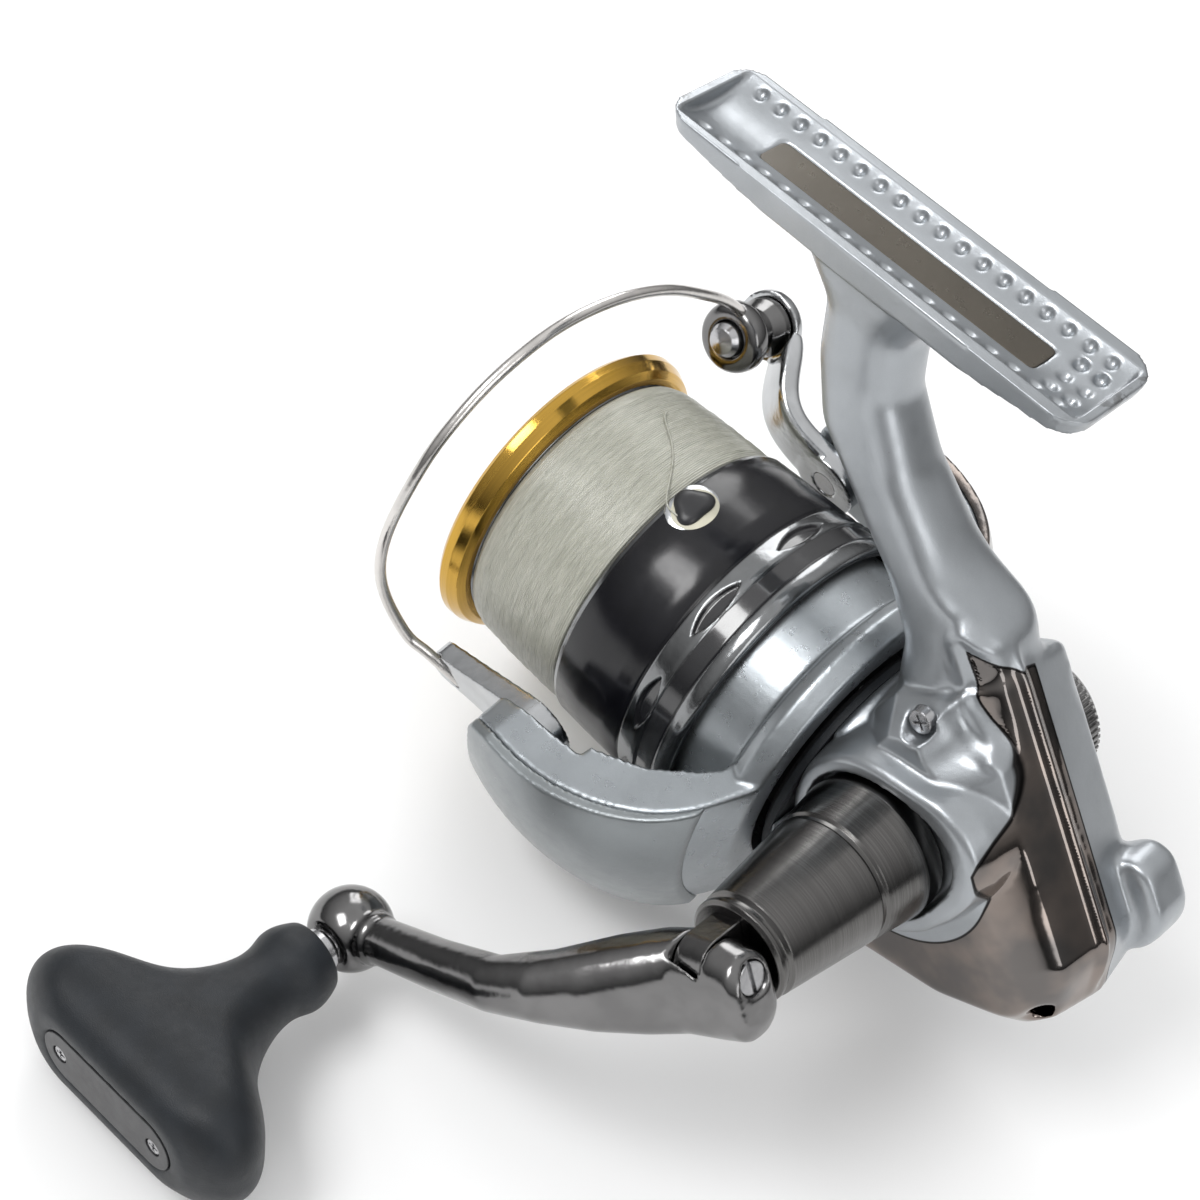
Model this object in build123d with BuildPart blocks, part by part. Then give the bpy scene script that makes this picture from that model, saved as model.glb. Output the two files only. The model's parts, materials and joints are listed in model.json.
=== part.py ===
from build123d import *
from math import acos, cos, hypot, pi, radians, sin, tan
import os

# A front-drag spinning reel with its handle on the left.
# The origin is the middle of the rod seat on the foot: +X runs forward along the rod,
# +Y to the handle side and +Z out of the rod seat. Sizes are in millimetres.
# Lengths below are counted from the gearbox centre on the spool axis: x ahead, z up.

os.makedirs("parts", exist_ok=True)

# ---- Driving dimensions ----
seat_height = 76.0  # rod seat above the spool axis
seat_ahead = 29.5  # middle of the rod seat ahead of the gearbox centre
slack = 0.02  # gap between pieces that are fixed to each other

foot_length = 64.0
foot_width_front = 15.6
foot_width_rear = 16.8
saddle_radius = 12.0
saddle_half_chord = 6.6
land_end = 1.6  # flat land left at each end of the saddle

crank_x = -4.6  # crank axis, which runs along Y
crank_z = 7.0
split_y = 1.0  # seam between the frame and the left side pieces
case_half_width = 13.0

shaft_radius = 2.1
pinion_bore = 2.17
rotor_angle = -15.0  # the handle-side arm hangs this much below level at rest
pivot_x = 41.0  # bail pivots, along the rotor arms
arm_inner = 30.8
arm_outer = 39.3

lip_radius = 23.5
line_radius = 22.3
arbor_radius = 15.0
skirt_radius = 23.6
skirt_rear = 22.4
flange_x = 44.8
lip_x = 66.8

crank_length = 52.0
crank_angle = -34.0  # the crank hangs forward and down at rest
fold_y = 46.0
knob_start = 67.4
knob_end = 101.0
knob_turn = 173.0  # direction of the T bar about the knob's own axis

pinion_teeth = 10
drive_teeth = 62
worm_teeth = 16
gear_module = 0.7
worm_drop = gear_module * (pinion_teeth + worm_teeth) / 2 + 0.1


# ---- Places, planes and axes ----
def at(x=0.0, y=0.0, z=0.0):
    """A point given from the gearbox centre on the spool axis."""
    return Vector(x - seat_ahead, y, z - seat_height)


def on_rotor(x, u, w):
    """A point in the rotor's own directions: u out along the left arm, w square to it."""
    turn = radians(rotor_angle)
    return at(x, u * cos(turn) - w * sin(turn), u * sin(turn) + w * cos(turn))


spool_axis = Axis(at(), (1, 0, 0))
crank_axis = Axis(at(crank_x, 0, crank_z), (0, 1, 0))
worm_axis = Axis(at(0, 0, -worm_drop), (1, 0, 0))

arm_out = Vector(0, cos(radians(rotor_angle)), sin(radians(rotor_angle)))
arm_up = Vector(0, -sin(radians(rotor_angle)), cos(radians(rotor_angle)))
crank_out = Vector(cos(radians(crank_angle)), 0, sin(radians(crank_angle)))
crank_up = Vector(-sin(radians(crank_angle)), 0, cos(radians(crank_angle)))

side_plane = Plane(origin=at(), x_dir=(1, 0, 0), z_dir=(0, -1, 0))
worm_plane = Plane(origin=at(0, 0, -worm_drop), x_dir=(1, 0, 0), z_dir=(0, -1, 0))
crank_section = Plane(origin=at(crank_x, 0, crank_z), x_dir=(0, 1, 0), z_dir=(1, 0, 0))


def cross_plane(x, y=0.0, z=0.0):
    """A plane square to the spool axis, with Y across and Z up."""
    return Plane(origin=at(x, y, z), x_dir=(0, 1, 0), z_dir=(1, 0, 0))


def flat_plane(z, x=0.0, y=0.0):
    return Plane(origin=at(x, y, z), x_dir=(1, 0, 0), z_dir=(0, 0, 1))


def rotor_face(x):
    """A plane square to the spool axis, with the left arm's direction across."""
    return Plane(origin=at(x), x_dir=arm_out, z_dir=(1, 0, 0))


def arm_face(u):
    """A plane square to the arms at u along them, with X across."""
    return Plane(origin=on_rotor(0, u, 0), x_dir=(1, 0, 0), z_dir=arm_out)


def crank_face(y):
    """A plane square to the crank axis, facing left."""
    return Plane(origin=at(crank_x, y, crank_z), x_dir=crank_out, z_dir=(0, 1, 0))


def handle_face(s, y, n=0.0):
    """A plane square to the crank's length, s out from the crank axis."""
    origin = at(crank_x, y, crank_z) + crank_out * s + crank_up * n
    return Plane(origin=origin, x_dir=crank_up, z_dir=crank_out)


# ---- Helpers that return sketches or small parts ----
def outline(plane, points):
    """A closed outline with straight sides."""
    with BuildSketch(plane) as face:
        with BuildLine():
            Polyline(*points, close=True)
        make_face()
    return face.sketch


def ring(plane, outer, inner):
    with BuildSketch(plane) as face:
        Circle(outer)
        Circle(inner, mode=Mode.SUBTRACT)
    return face.sketch


def disc(plane, radius, x=0.0, y=0.0):
    with BuildSketch(plane) as face:
        with Locations((x, y)):
            Circle(radius)
    return face.sketch


def gear_outline(plane, teeth, addendum, backlash, turn=0.0):
    """Involute teeth of the reel's gear module; turn is in tooth pitches."""
    pitch = gear_module * teeth / 2
    base = pitch * cos(radians(20))
    tip = pitch + addendum
    root = pitch - addendum - 0.2

    def half_tooth(radius):
        inside = min(1.0, base / radius)
        angle = acos(inside)
        roll = tan(radians(20)) - radians(20) - (tan(angle) - angle)
        return pi / (2 * teeth) - backlash / (2 * pitch) + roll

    radii = [root, max(base, root + 0.05), pitch, (pitch + tip) / 2, tip]
    flank = [(r, half_tooth(max(r, base))) for r in radii]
    points = []
    for tooth in range(teeth):
        middle = 2 * pi * (tooth + turn) / teeth
        for radius, half in flank:
            points.append((radius * cos(middle - half), radius * sin(middle - half)))
        for radius, half in reversed(flank):
            points.append((radius * cos(middle + half), radius * sin(middle + half)))
    return outline(plane, points)


def ball_bearing(section, axis, start, bore, outer, width):
    """A ball bearing from start along the axis; both rings stay apart from the balls."""
    middle = (bore + outer) / 2
    wall = (outer - bore) * 0.26
    ball = (outer - bore) / 2 - wall - 0.05
    end = start + width
    hub = Plane(origin=axis.position + axis.direction * (start + width / 2), z_dir=axis.direction)
    with BuildPart() as bearing:
        for low, high in ((bore, bore + wall), (outer - wall, outer)):
            box = [(start, low), (end, low), (end, high), (start, high)]
            revolve(outline(section, box), axis=axis)
        with Locations(hub):
            with PolarLocations(middle, 8):
                Sphere(ball)
    return bearing.part


# ---- Gear case ----
case_points = [
    (7.0, -18.5),
    (7.0, 19.0),
    (5.0, 25.0),
    (-3.5, 31.5),
    (-35.6, -4.2),
    (-32.6, -9.6),
    (-22.0, -16.0),
    (-5.0, -20.8),
]


def shrunk(points, amount):
    """An anticlockwise outline moved inwards by amount, corners kept sharp."""
    moved = []
    for index, (x, z) in enumerate(points):
        before = points[index - 1]
        after = points[(index + 1) % len(points)]
        inward = []
        for start, end in ((before, (x, z)), ((x, z), after)):
            length = hypot(end[0] - start[0], end[1] - start[1])
            inward.append(((start[1] - end[1]) / length, (end[0] - start[0]) / length))
        (ax, az), (bx, bz) = inward
        reach = amount / (1 + ax * bx + az * bz)
        moved.append((x + (ax + bx) * reach, z + (az + bz) * reach))
    return moved


def side_view(y, points):
    """An outline drawn from the side and placed at y."""
    return outline(Plane(origin=at(0, y, 0), x_dir=(1, 0, 0), z_dir=(0, -1, 0)), points)


def case_prism(inset, low, high):
    """The case's outline shrunk by inset and drawn straight from low to high along Y."""
    with BuildPart() as prism:
        extrude(side_view(low, shrunk(case_points, inset)), amount=high - low, dir=(0, 1, 0))
    return prism.part


case_shoulder = 8.5
side_lean = case_shoulder * tan(radians(9))
rim_lean = (case_half_width - case_shoulder) * tan(radians(40))
with BuildPart() as full_block:
    levels = ((-case_half_width, side_lean + rim_lean), (-case_shoulder, side_lean), (0, 0))
    levels += ((case_shoulder, side_lean), (case_half_width, side_lean + rim_lean))
    loft([side_view(y, shrunk(case_points, lean)) for y, lean in levels], ruled=True)
full_case = full_block.part
case_wall = 3.0
cavity_left = 8.5
cavity_right = -8.6
cavity_case = case_prism(case_wall, cavity_right, cavity_left)

guard_edge = [(-1.0, 40), (-7, 31), (-12.5, 25), (-14.5, 19), (-14.5, 12), (-12, 2), (-8, -6)]
guard_edge += [(-1, -10.5), (10, -12.5), (10, -40), (-60, -40), (-60, 40)]
boss_radius = 14.2
plate_rear = 4.0  # rear face of the frame's front plate

# What the guard covers: left of the seam, behind and below the crank boss.
with BuildPart() as guard_zone:
    extrude(outline(side_plane, guard_edge), amount=-30)
    split(bisect_by=Plane.XZ.offset(-split_y), keep=Keep.BOTTOM)
    extrude(disc(crank_face(-1), boss_radius), amount=40, mode=Mode.SUBTRACT)



def crank_boss(gap):
    """The round boss of the side cover where it stands in front of the frame's plate."""
    with BuildPart() as round_boss:
        extrude(disc(crank_face(9.0 - gap), boss_radius + gap), amount=22)
        split(bisect_by=cross_plane(8.0 + gap), keep=Keep.BOTTOM)
    return round_boss.part


# Room for the frame's round front plate, all but the crank boss.
with BuildPart() as front_zone:
    extrude(disc(cross_plane(plate_rear - slack), 19.25), amount=20)
    add(crank_boss(0), mode=Mode.SUBTRACT)

# Stem: lofted between level sections, from the case top to the foot.
stem_levels = [
    # height, rear, front, thickness
    (20.0, -7.0, 6.5, 15.0),
    (29.0, -4.5, 8.6, 14.0),
    (36.0, -0.5, 14.5, 13.0),
    (42.0, 6.5, 22.0, 12.0),
    (49.0, 15.0, 30.6, 11.0),
    (57.0, 21.0, 34.0, 10.4),
    (65.0, 22.6, 35.4, 10.8),
    (71.8, 19.5, 41.0, 13.4),
]


def stem_body(grow):
    sections = []
    for height, rear, front, thick in stem_levels:
        with BuildSketch(flat_plane(height, (rear + front) / 2)) as level:
            RectangleRounded(front - rear + 2 * grow, thick + 2 * grow, thick * 0.42)
        sections.append(level.sketch)
    with BuildPart() as block:
        loft(sections, ruled=True)
    return block.part


stem_room = stem_body(0.04)

# Rear guard: a plated cover over the left rear corner and the belly.
tail_x, tail_z = -31.8, -4.6
tail_seat = 3.2
with BuildPart() as rear_guard:
    add(full_case)
    add(guard_zone.part, mode=Mode.INTERSECT)
    add(cavity_case, mode=Mode.SUBTRACT)
    add(front_zone.part, mode=Mode.SUBTRACT)
    add(stem_room, mode=Mode.SUBTRACT)
    extrude(disc(cross_plane(-26.6, 0, -worm_drop), 2.5), amount=3.0, mode=Mode.SUBTRACT)
    tail = Plane(origin=at(tail_x, tail_seat, tail_z), z_dir=(0, 1, 0))
    extrude(disc(tail, 1.35), amount=10, mode=Mode.SUBTRACT)
    extrude(disc(tail, 0.8), amount=-10, mode=Mode.SUBTRACT)
rear_guard.part.label = "rear_guard"
export_step(rear_guard.part, "parts/rear_guard.step")

# Left side cover, with the crank boss, its screw pockets and the shaft bore.
screw_x, screw_z = -1.5, 25.5
screw_seat = Plane(origin=at(screw_x, 9.6, screw_z), z_dir=(0, 1, 0))
boss = [(cavity_left, 0), (cavity_left, boss_radius), (12.5, 13.6), (15.6, 12.9), (16.2, 12.2),
    (16.2, 10.7), (13.5, 10.7), (13.5, 0)]
with BuildPart() as side_cover:
    add(full_case)
    split(bisect_by=Plane.XZ.offset(-split_y), keep=Keep.BOTTOM)
    add(guard_zone.part, mode=Mode.SUBTRACT)
    add(cavity_case, mode=Mode.SUBTRACT)
    add(stem_room, mode=Mode.SUBTRACT)
    revolve(outline(crank_section, boss), axis=crank_axis)
    for low, high, radius in ((8, 12.4, 7.52), (9, 20, 4.4)):
        bore = [(low, 0), (high, 0), (high, radius), (low, radius)]
        revolve(outline(crank_section, bore), axis=crank_axis, mode=Mode.SUBTRACT)
    add(front_zone.part, mode=Mode.SUBTRACT)
    extrude(disc(screw_seat, 2.2), amount=12, mode=Mode.SUBTRACT)
    extrude(disc(screw_seat, 1.25), amount=-12, mode=Mode.SUBTRACT)
side_cover.part.label = "side_cover"
export_step(side_cover.part, "parts/side_cover.step")

# Foot: a plate with a hollow saddle for the rod, flat lands around it and grip dimples.
dimple_pitch = 3.2
dimple_rows = 18
dimple_y = 5.1
saddle_rise = (saddle_radius**2 - saddle_half_chord**2) ** 0.5
saddle_bottom = saddle_rise - saddle_radius
dimple_z = saddle_rise - (saddle_radius**2 - dimple_y**2) ** 0.5
plate_size = (42.4, 5.0, 1.0)
plate_x = -0.7
foot_end = foot_length / 2
foot_thick = 4.6

with BuildPart() as foot_block:
    with BuildSketch(Plane.XY) as top:
        with BuildLine():
            Polyline(
                (foot_end, foot_width_front / 2),
                (-foot_end, foot_width_rear / 2),
                (-foot_end, -foot_width_rear / 2),
                (foot_end, -foot_width_front / 2),
                close=True,
            )
        make_face()
        fillet(top.vertices(), 4.2)
    extrude(amount=-foot_thick, taper=14)
    for way in (1, -1):
        wedge = [(foot_end + 1, -2.0), (foot_end + 1, -8), (foot_end - 22, -8),
            (foot_end - 17, -foot_thick)]
        with BuildSketch(Plane.XZ) as ramp:
            with BuildLine():
                Polyline(*[(way * x, z) for x, z in wedge], close=True)
            make_face()
        extrude(ramp.sketch, amount=12, both=True, mode=Mode.SUBTRACT)
    with Locations(Plane(origin=(0, 0, saddle_rise), z_dir=(1, 0, 0))):
        Cylinder(saddle_radius, foot_length - 2 * land_end, mode=Mode.SUBTRACT)
    with Locations((0, dimple_y, dimple_z + 0.3), (0, -dimple_y, dimple_z + 0.3)):
        with GridLocations(dimple_pitch, 1, dimple_rows, 1):
            Sphere(0.95, mode=Mode.SUBTRACT)
    with Locations((plate_x - plate_size[0] / 2 - 4.4, 0, saddle_bottom + 0.35)):
        with GridLocations(2.9, 2.9, 2, 3):
            Sphere(0.95, mode=Mode.SUBTRACT)
    with BuildSketch(Plane.XY.offset(saddle_bottom - 0.55)):
        with Locations((plate_x, 0)):
            RectangleRounded(plate_size[0], plate_size[1], 0.9)
    extrude(amount=5, mode=Mode.SUBTRACT)

with BuildPart() as foot_plate:
    with BuildSketch(Plane.XY.offset(saddle_bottom - 0.53)):
        with Locations((plate_x, 0)):
            RectangleRounded(plate_size[0] - 2 * slack, plate_size[1] - 2 * slack, 0.88)
    extrude(amount=0.6)
foot_plate.part.label = "foot_plate"
export_step(foot_plate.part, "parts/foot_plate.step")

# Frame: foot, stem, right half of the case, front plate and bearing nose in one casting.
drive_bore = 4.0
drive_outer = 7.5
drive_width = 4.0
bearing_front = 8.6
nose = [(plate_rear, 0), (plate_rear, 18.2), (5.2, 19.2), (7.2, 19.2), (8.0, 18.4), (8.0, 9.5),
    (13.0, 9.5), (13.0, 0)]
right_boss = [(-5.6, 2), (-5.6, 9.6), (-9, 10.6), (-14.2, 10.6), (-15.2, 9.6), (-15.2, 2)]
guide_y = -6.6
guide_z = -6.0
clutch_screw_radius = 15.0

# Lobe at the right rear, with a slot for the anti-reverse switch.
switch_slope = Vector(31.0, 0, 34.5).normalized()
switch_plane = Plane(origin=at(-29.0, -12.4, 3.0), x_dir=switch_slope, z_dir=(0, -1, 0))
with BuildPart() as lobe:
    with BuildSketch(switch_plane) as pad:
        RectangleRounded(14.0, 7.4, 3.4)
    extrude(pad.sketch, amount=-7.0)

# Ribs inside the case for the pinion bush, the worm's rear bush, guide shaft and screws.
rib_left = split_y - 0.04
with BuildPart() as ribs:
    with Locations(at(-2.25, -2.7, -0.2)):
        Box(2.5, 13.8, 9.0)
    with Locations(at(-25.2, rib_left - 5.5, -9.4)):
        Box(2.5, 11.0, 9.4)
    with Locations(Plane(origin=at(screw_x, -4.5, screw_z), z_dir=(0, 1, 0))):
        Cylinder(2.4, 10.8)
    with Locations(Plane(origin=at(tail_x, -2.5, tail_z), z_dir=(0, 1, 0))):
        Cylinder(2.2, 6.8)
    add(case_prism(1.8, -8.8, 6.0), mode=Mode.INTERSECT)

with BuildPart() as gear_frame:
    add(full_case)
    split(bisect_by=Plane.XZ.offset(-split_y), keep=Keep.TOP)
    revolve(outline(side_plane, nose), axis=spool_axis)
    add(crank_boss(0.04), mode=Mode.SUBTRACT)
    add(stem_body(0))
    add(lobe.part)
    add(cavity_case, mode=Mode.SUBTRACT)
    add(foot_block.part)
    add(ribs.part)
    with BuildSketch(switch_plane) as slot:
        RectangleRounded(8.4, 2.7, 1.3)
    extrude(slot.sketch, amount=-1.2, mode=Mode.SUBTRACT)
    revolve(outline(crank_section, right_boss), axis=crank_axis)
    # Bores: drive bearing and shaft, room for the drive gear, pinion bush, pinion bearing, worm bushes.
    for low, high, radius in ((-9.7, 0, 7.52), (-11.6, 6, 4.4), (-30, -11.4, 7.0), (-30, -15.2, 9.7),
        (4.0, 8.4, 11.4)):
        box = [(low, 0), (high, 0), (high, radius), (low, radius)]
        revolve(outline(crank_section, box), axis=crank_axis, mode=Mode.SUBTRACT)
    for low, high, radius in ((-8, 3, 3.52), (3, 9, 4.6), (bearing_front, 14, 7.52)):
        box = [(low, 0), (high, 0), (high, radius), (low, radius)]
        revolve(outline(side_plane, box), axis=spool_axis, mode=Mode.SUBTRACT)
    for low, high in ((-26.6, -20), (3, 6.4)):
        box = [(low, 0), (high, 0), (high, 2.42), (low, 2.42)]
        revolve(outline(worm_plane, box), axis=worm_axis, mode=Mode.SUBTRACT)
    extrude(disc(cross_plane(-26.5, guide_y, guide_z), 1.02), amount=32.4, mode=Mode.SUBTRACT)
    with Locations(rotor_face(6.5)):
        with PolarLocations(clutch_screw_radius, 3, start_angle=90):
            Cylinder(0.8, 6.0, mode=Mode.SUBTRACT)
    extrude(disc(screw_seat.offset(-1.5), 1.02), amount=-14.5, mode=Mode.SUBTRACT)
    extrude(disc(tail, 0.8), amount=-6.5, mode=Mode.SUBTRACT)
gear_frame.part.label = "gear_frame"
export_step(gear_frame.part, "parts/gear_frame.step")

# ---- Fasteners and small fixed pieces of the case ----
def pan_screw(plane, head_radius, head_height, shank_radius, shank_length):
    """A cross-head screw; the plane is under its head, with its normal out of the head."""
    with BuildPart() as screw:
        extrude(disc(plane, head_radius), amount=head_height, taper=12)
        extrude(disc(plane, shank_radius), amount=-shank_length)
        for size in ((head_radius * 1.2, 0.35), (0.35, head_radius * 1.2)):
            with BuildSketch(plane.offset(head_height)) as cross:
                Rectangle(*size)
            extrude(cross.sketch, amount=-head_height * 0.55, mode=Mode.SUBTRACT)
    return screw.part


with BuildPart() as cover_screw:
    seat = Plane(origin=at(screw_x, 9.62, screw_z), x_dir=(1, 0, 1), z_dir=(0, 1, 0))
    add(pan_screw(seat, 1.9, 1.3, 1.0, 13.0))
cover_screw.part.label = "cover_screw"
export_step(cover_screw.part, "parts/cover_screw.step")

with BuildPart() as guard_screw:
    add(pan_screw(tail.offset(slack), 1.3, 0.8, 0.75, 6.0))
guard_screw.part.label = "guard_screw"
export_step(guard_screw.part, "parts/guard_screw.step")

with BuildPart() as clutch_screws:
    for turn in (90, 210, 330):
        spoke = arm_out * cos(radians(turn)) + arm_up * sin(radians(turn))
        seat = Plane(origin=at(10.02) + spoke * clutch_screw_radius, x_dir=spoke, z_dir=(1, 0, 0))
        add(pan_screw(seat, 1.5, 0.9, 0.75, 5.5))
clutch_screws.part.label = "clutch_screws"
export_step(clutch_screws.part, "parts/clutch_screws.step")

# Knurled cap over the right end of the drive shaft.
with BuildPart() as side_cap:
    body = [(-15.25, 0), (-15.25, 8.2), (-16.0, 8.8), (-16.4, 8.8), (-16.4, 0)]
    revolve(outline(crank_section, body), axis=crank_axis)
    ribs = 60
    with BuildSketch(crank_face(-16.4)) as knurl:
        Circle(9.1)
        with PolarLocations(9.1, ribs):
            Rectangle(0.7, 0.5)
    extrude(knurl.sketch, amount=-4.0)
    extrude(disc(crank_face(-20.4), 8.9), amount=-1.4, taper=28)
    revolve(outline(crank_section, [(-16, 5.6), (-16, 6.95), (-12.0, 6.95), (-12.0, 5.6)]), axis=crank_axis)
    revolve(outline(crank_section, [(-18.5, 0), (-18.5, 5.6), (-15, 5.6),
        (-15, 0)]), axis=crank_axis, mode=Mode.SUBTRACT)
side_cap.part.label = "side_cap"
export_step(side_cap.part, "parts/side_cap.step")

left_bearing_start = 8.38
with BuildPart() as drive_bearings:
    for start in (left_bearing_start, -9.66):
        add(ball_bearing(crank_section, crank_axis, start, drive_bore, drive_outer, drive_width))
drive_bearings.part.label = "drive_bearings"
export_step(drive_bearings.part, "parts/drive_bearings.step")

with BuildPart() as pinion_bearing:
    add(ball_bearing(side_plane, spool_axis, bearing_front + 0.02, 3.55, 7.5, 4.0))
pinion_bearing.part.label = "pinion_bearing"
export_step(pinion_bearing.part, "parts/pinion_bearing.step")

with BuildPart() as shaft_bushes:
    extrude(ring(cross_plane(-3.5), 3.5, 2.95), amount=2.5)
    extrude(ring(cross_plane(-26.4, 0, -worm_drop), 2.4, 1.25), amount=2.4)
    extrude(ring(cross_plane(4.4, 0, -worm_drop), 2.4, 1.25), amount=1.9)
shaft_bushes.part.label = "shaft_bushes"
export_step(shaft_bushes.part, "parts/shaft_bushes.step")

with BuildPart() as guide_shaft:
    extrude(disc(cross_plane(-26.4, guide_y, guide_z), 1.0), amount=32.2)
guide_shaft.part.label = "guide_shaft"
export_step(guide_shaft.part, "parts/guide_shaft.step")

# One-way clutch behind the rotor, which stops it turning backwards.
clutch_outer = 10.3
clutch_inner = 6.5
rollers = 6
with BuildPart() as clutch_case:
    profile = [(8.05, 9.55), (8.05, 16.8), (10.0, 16.8), (10.0, 13.0), (20.6, 13.0), (20.6, 8.0)]
    profile += [(19.4, 8.0), (19.4, clutch_outer), (13.1, clutch_outer), (13.1, 9.55)]
    revolve(outline(side_plane, profile), axis=spool_axis)
    with Locations(rotor_face(9.0)):
        with PolarLocations(clutch_screw_radius, 3, start_angle=90):
            Cylinder(0.85, 4.0, mode=Mode.SUBTRACT)
clutch_case.part.label = "clutch_case"
export_step(clutch_case.part, "parts/clutch_case.step")

with BuildPart() as clutch_rollers:
    with Locations(cross_plane(16.4)):
        with PolarLocations((clutch_outer + clutch_inner) / 2, rollers):
            Cylinder(1.82, 5.0)
clutch_rollers.part.label = "clutch_rollers"
export_step(clutch_rollers.part, "parts/clutch_rollers.step")

# Rubber brake ring on the front plate, which steadies the rotor while the bail is open.
with BuildPart() as brake_ring:
    extrude(ring(cross_plane(8.02), 18.2, 17.0), amount=1.1)
brake_ring.part.label = "brake_ring"
export_step(brake_ring.part, "parts/brake_ring.step")

# Anti-reverse switch in the lobe at the right rear of the case.
with BuildPart() as reverse_switch:
    with BuildSketch(switch_plane.offset(-1.1)) as tab:
        RectangleRounded(4.6, 2.5, 1.2)
    extrude(tab.sketch, amount=1.7, taper=8)
reverse_switch.part.label = "reverse_switch"
export_step(reverse_switch.part, "parts/reverse_switch.step")

# ---- Crank: drive gear, shank, collar ----
tooth_inner = 8.0
tooth_outer = 11.0
with BuildPart() as drive_gear:
    shaft = [(-13.6, 0), (-13.6, 3.96), (-4.9, 3.96), (-4.9, 3.4), (4.6, 3.4), (4.6, 5.6), (6.0, 5.6),
        (6.0, 8.0), (4.35, 8.0), (4.35, 11.0)]
    shaft += [(8.0, 11.0), (8.0, 3.96), (15.9, 3.96), (15.9, 0)]
    revolve(outline(crank_section, shaft), axis=crank_axis)
    with Locations(crank_face(4.6)):
        with PolarLocations((tooth_inner + tooth_outer) / 2, drive_teeth):
            Box(tooth_outer - tooth_inner + 1, 0.42, 0.7, mode=Mode.SUBTRACT)
    revolve(outline(crank_section, [(5.9, 0), (16, 0), (16, 2.0),
        (5.9, 2.0)]), axis=crank_axis, mode=Mode.SUBTRACT)
drive_gear.part.label = "drive_gear"
export_step(drive_gear.part, "parts/drive_gear.step")

with BuildPart() as gear_shims:
    extrude(ring(crank_face(8.04), 6.0, 4.0), amount=0.3)
    extrude(ring(crank_face(-5.6), 5.4, 4.0), amount=0.3)
gear_shims.part.label = "gear_shims"
export_step(gear_shims.part, "parts/gear_shims.step")

collar_start = 14.4
collar_end = 41.6
with BuildPart() as handle_collar:
    cone = [(collar_start, 8.9), (collar_start, 10.1), (17.2, 10.3), (23.6, 9.35), (24.0, 9.0),
        (24.6, 9.0), (25.0, 9.2)]
    cone += [(39.4, 7.45), (39.9, 6.9), (40.4, 6.9), (40.7, 7.3), (41.2, 7.25), (collar_end, 6.7),
        (collar_end, 2.0)]
    cone += [(37.0, 2.0), (37.0, 5.0), (17.0, 8.0)]
    revolve(outline(crank_section, cone), axis=crank_axis)
    extrude(ring(crank_face(16.0), 8.4, 2.0), amount=1.6)
handle_collar.part.label = "handle_collar"
export_step(handle_collar.part, "parts/handle_collar.step")

fold_n = 1.5
tongue_radius = 3.9
fold_plane = handle_face(0, fold_y, fold_n)
with BuildPart() as hinge_tongue:
    extrude(disc(crank_face(6.2), 1.95), amount=collar_end - 6.1)
    with BuildSketch(fold_plane) as tab:
        Circle(tongue_radius)
        with Locations((0, (fold_y - collar_end - 0.05) / 2)):
            Rectangle(2 * tongue_radius, fold_y - collar_end - 0.05)
    extrude(tab.sketch, amount=2.15, both=True)
    extrude(disc(fold_plane, 1.35), amount=4, both=True, mode=Mode.SUBTRACT)
hinge_tongue.part.label = "hinge_tongue"
export_step(hinge_tongue.part, "parts/hinge_tongue.step")

# ---- Handle arm, hinged to the tongue along its own length ----
arm_end_y = 61.0
arm_levels = [
    # s along the crank, y, middle across, width across, depth along y, corner
    (-7.6, 46.4, -1.0, 8.0, 5.6, 2.6),
    (-6.4, 46.3, -1.2, 11.6, 7.6, 3.6),
    (-3.0, 46.3, -1.2, 13.2, 8.2, 4.0),
    (2.0, 46.9, -1.2, 13.2, 9.4, 4.0),
    (6.0, 49.2, -1.0, 12.6, 11.4, 4.4),
    (11.0, 52.8, -0.6, 11.0, 12.0, 4.6),
    (17.0, 57.4, 0.0, 8.6, 9.6, 4.0),
    (24.0, 60.4, 0.0, 7.2, 7.2, 3.5),
    (34.0, 61.0, 0.0, 6.6, 6.6, 3.2),
    (46.2, 61.0, 0.0, 6.2, 6.2, 3.0),
]
arm_sections = []
for s, y, middle, across, along, corner in arm_levels:
    with BuildSketch(handle_face(s, y, middle)) as level:
        RectangleRounded(across, along, corner)
    arm_sections.append(level.sketch)
knob_axis = Axis(at(crank_x, 0, crank_z) + crank_out * crank_length, (0, 1, 0))
knob_section = Plane(origin=knob_axis.position, x_dir=(0, 1, 0), z_dir=(1, 0, 0))
with BuildPart() as handle_arm:
    loft(arm_sections, ruled=True)
    extrude(disc(handle_face(45.9, arm_end_y), 3.6), amount=1.5)
    with Locations(Plane(origin=knob_axis.position + Vector(0, arm_end_y, 0), z_dir=(0, 1, 0))):
        Sphere(5.8)
    ball_cut = [(arm_end_y + 4.3, 0), (arm_end_y + 9, 0), (arm_end_y + 9, 9), (arm_end_y + 4.3, 9)]
    revolve(outline(knob_section, ball_cut), axis=knob_axis, mode=Mode.SUBTRACT)
    extrude(disc(Plane(origin=knob_axis.position + Vector(0, arm_end_y - 3, 0), z_dir=(0, 1, 0)),
        2.02), amount=12,
            mode=Mode.SUBTRACT)
    with Locations(Plane(origin=fold_plane.origin + Vector(0, -1.0, 0) + crank_up * 4.0,
        x_dir=crank_out, z_dir=crank_up)):
        Box(4.7, 10.3, 16.2, mode=Mode.SUBTRACT)
    extrude(disc(crank_face(30), 16), amount=collar_end + 0.45 - 30, mode=Mode.SUBTRACT)
    extrude(disc(fold_plane.offset(-9), 1.32), amount=16, mode=Mode.SUBTRACT)
    extrude(disc(fold_plane.offset(-9), 2.25), amount=3.2, mode=Mode.SUBTRACT)
handle_arm.part.label = "handle_arm"
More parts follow.
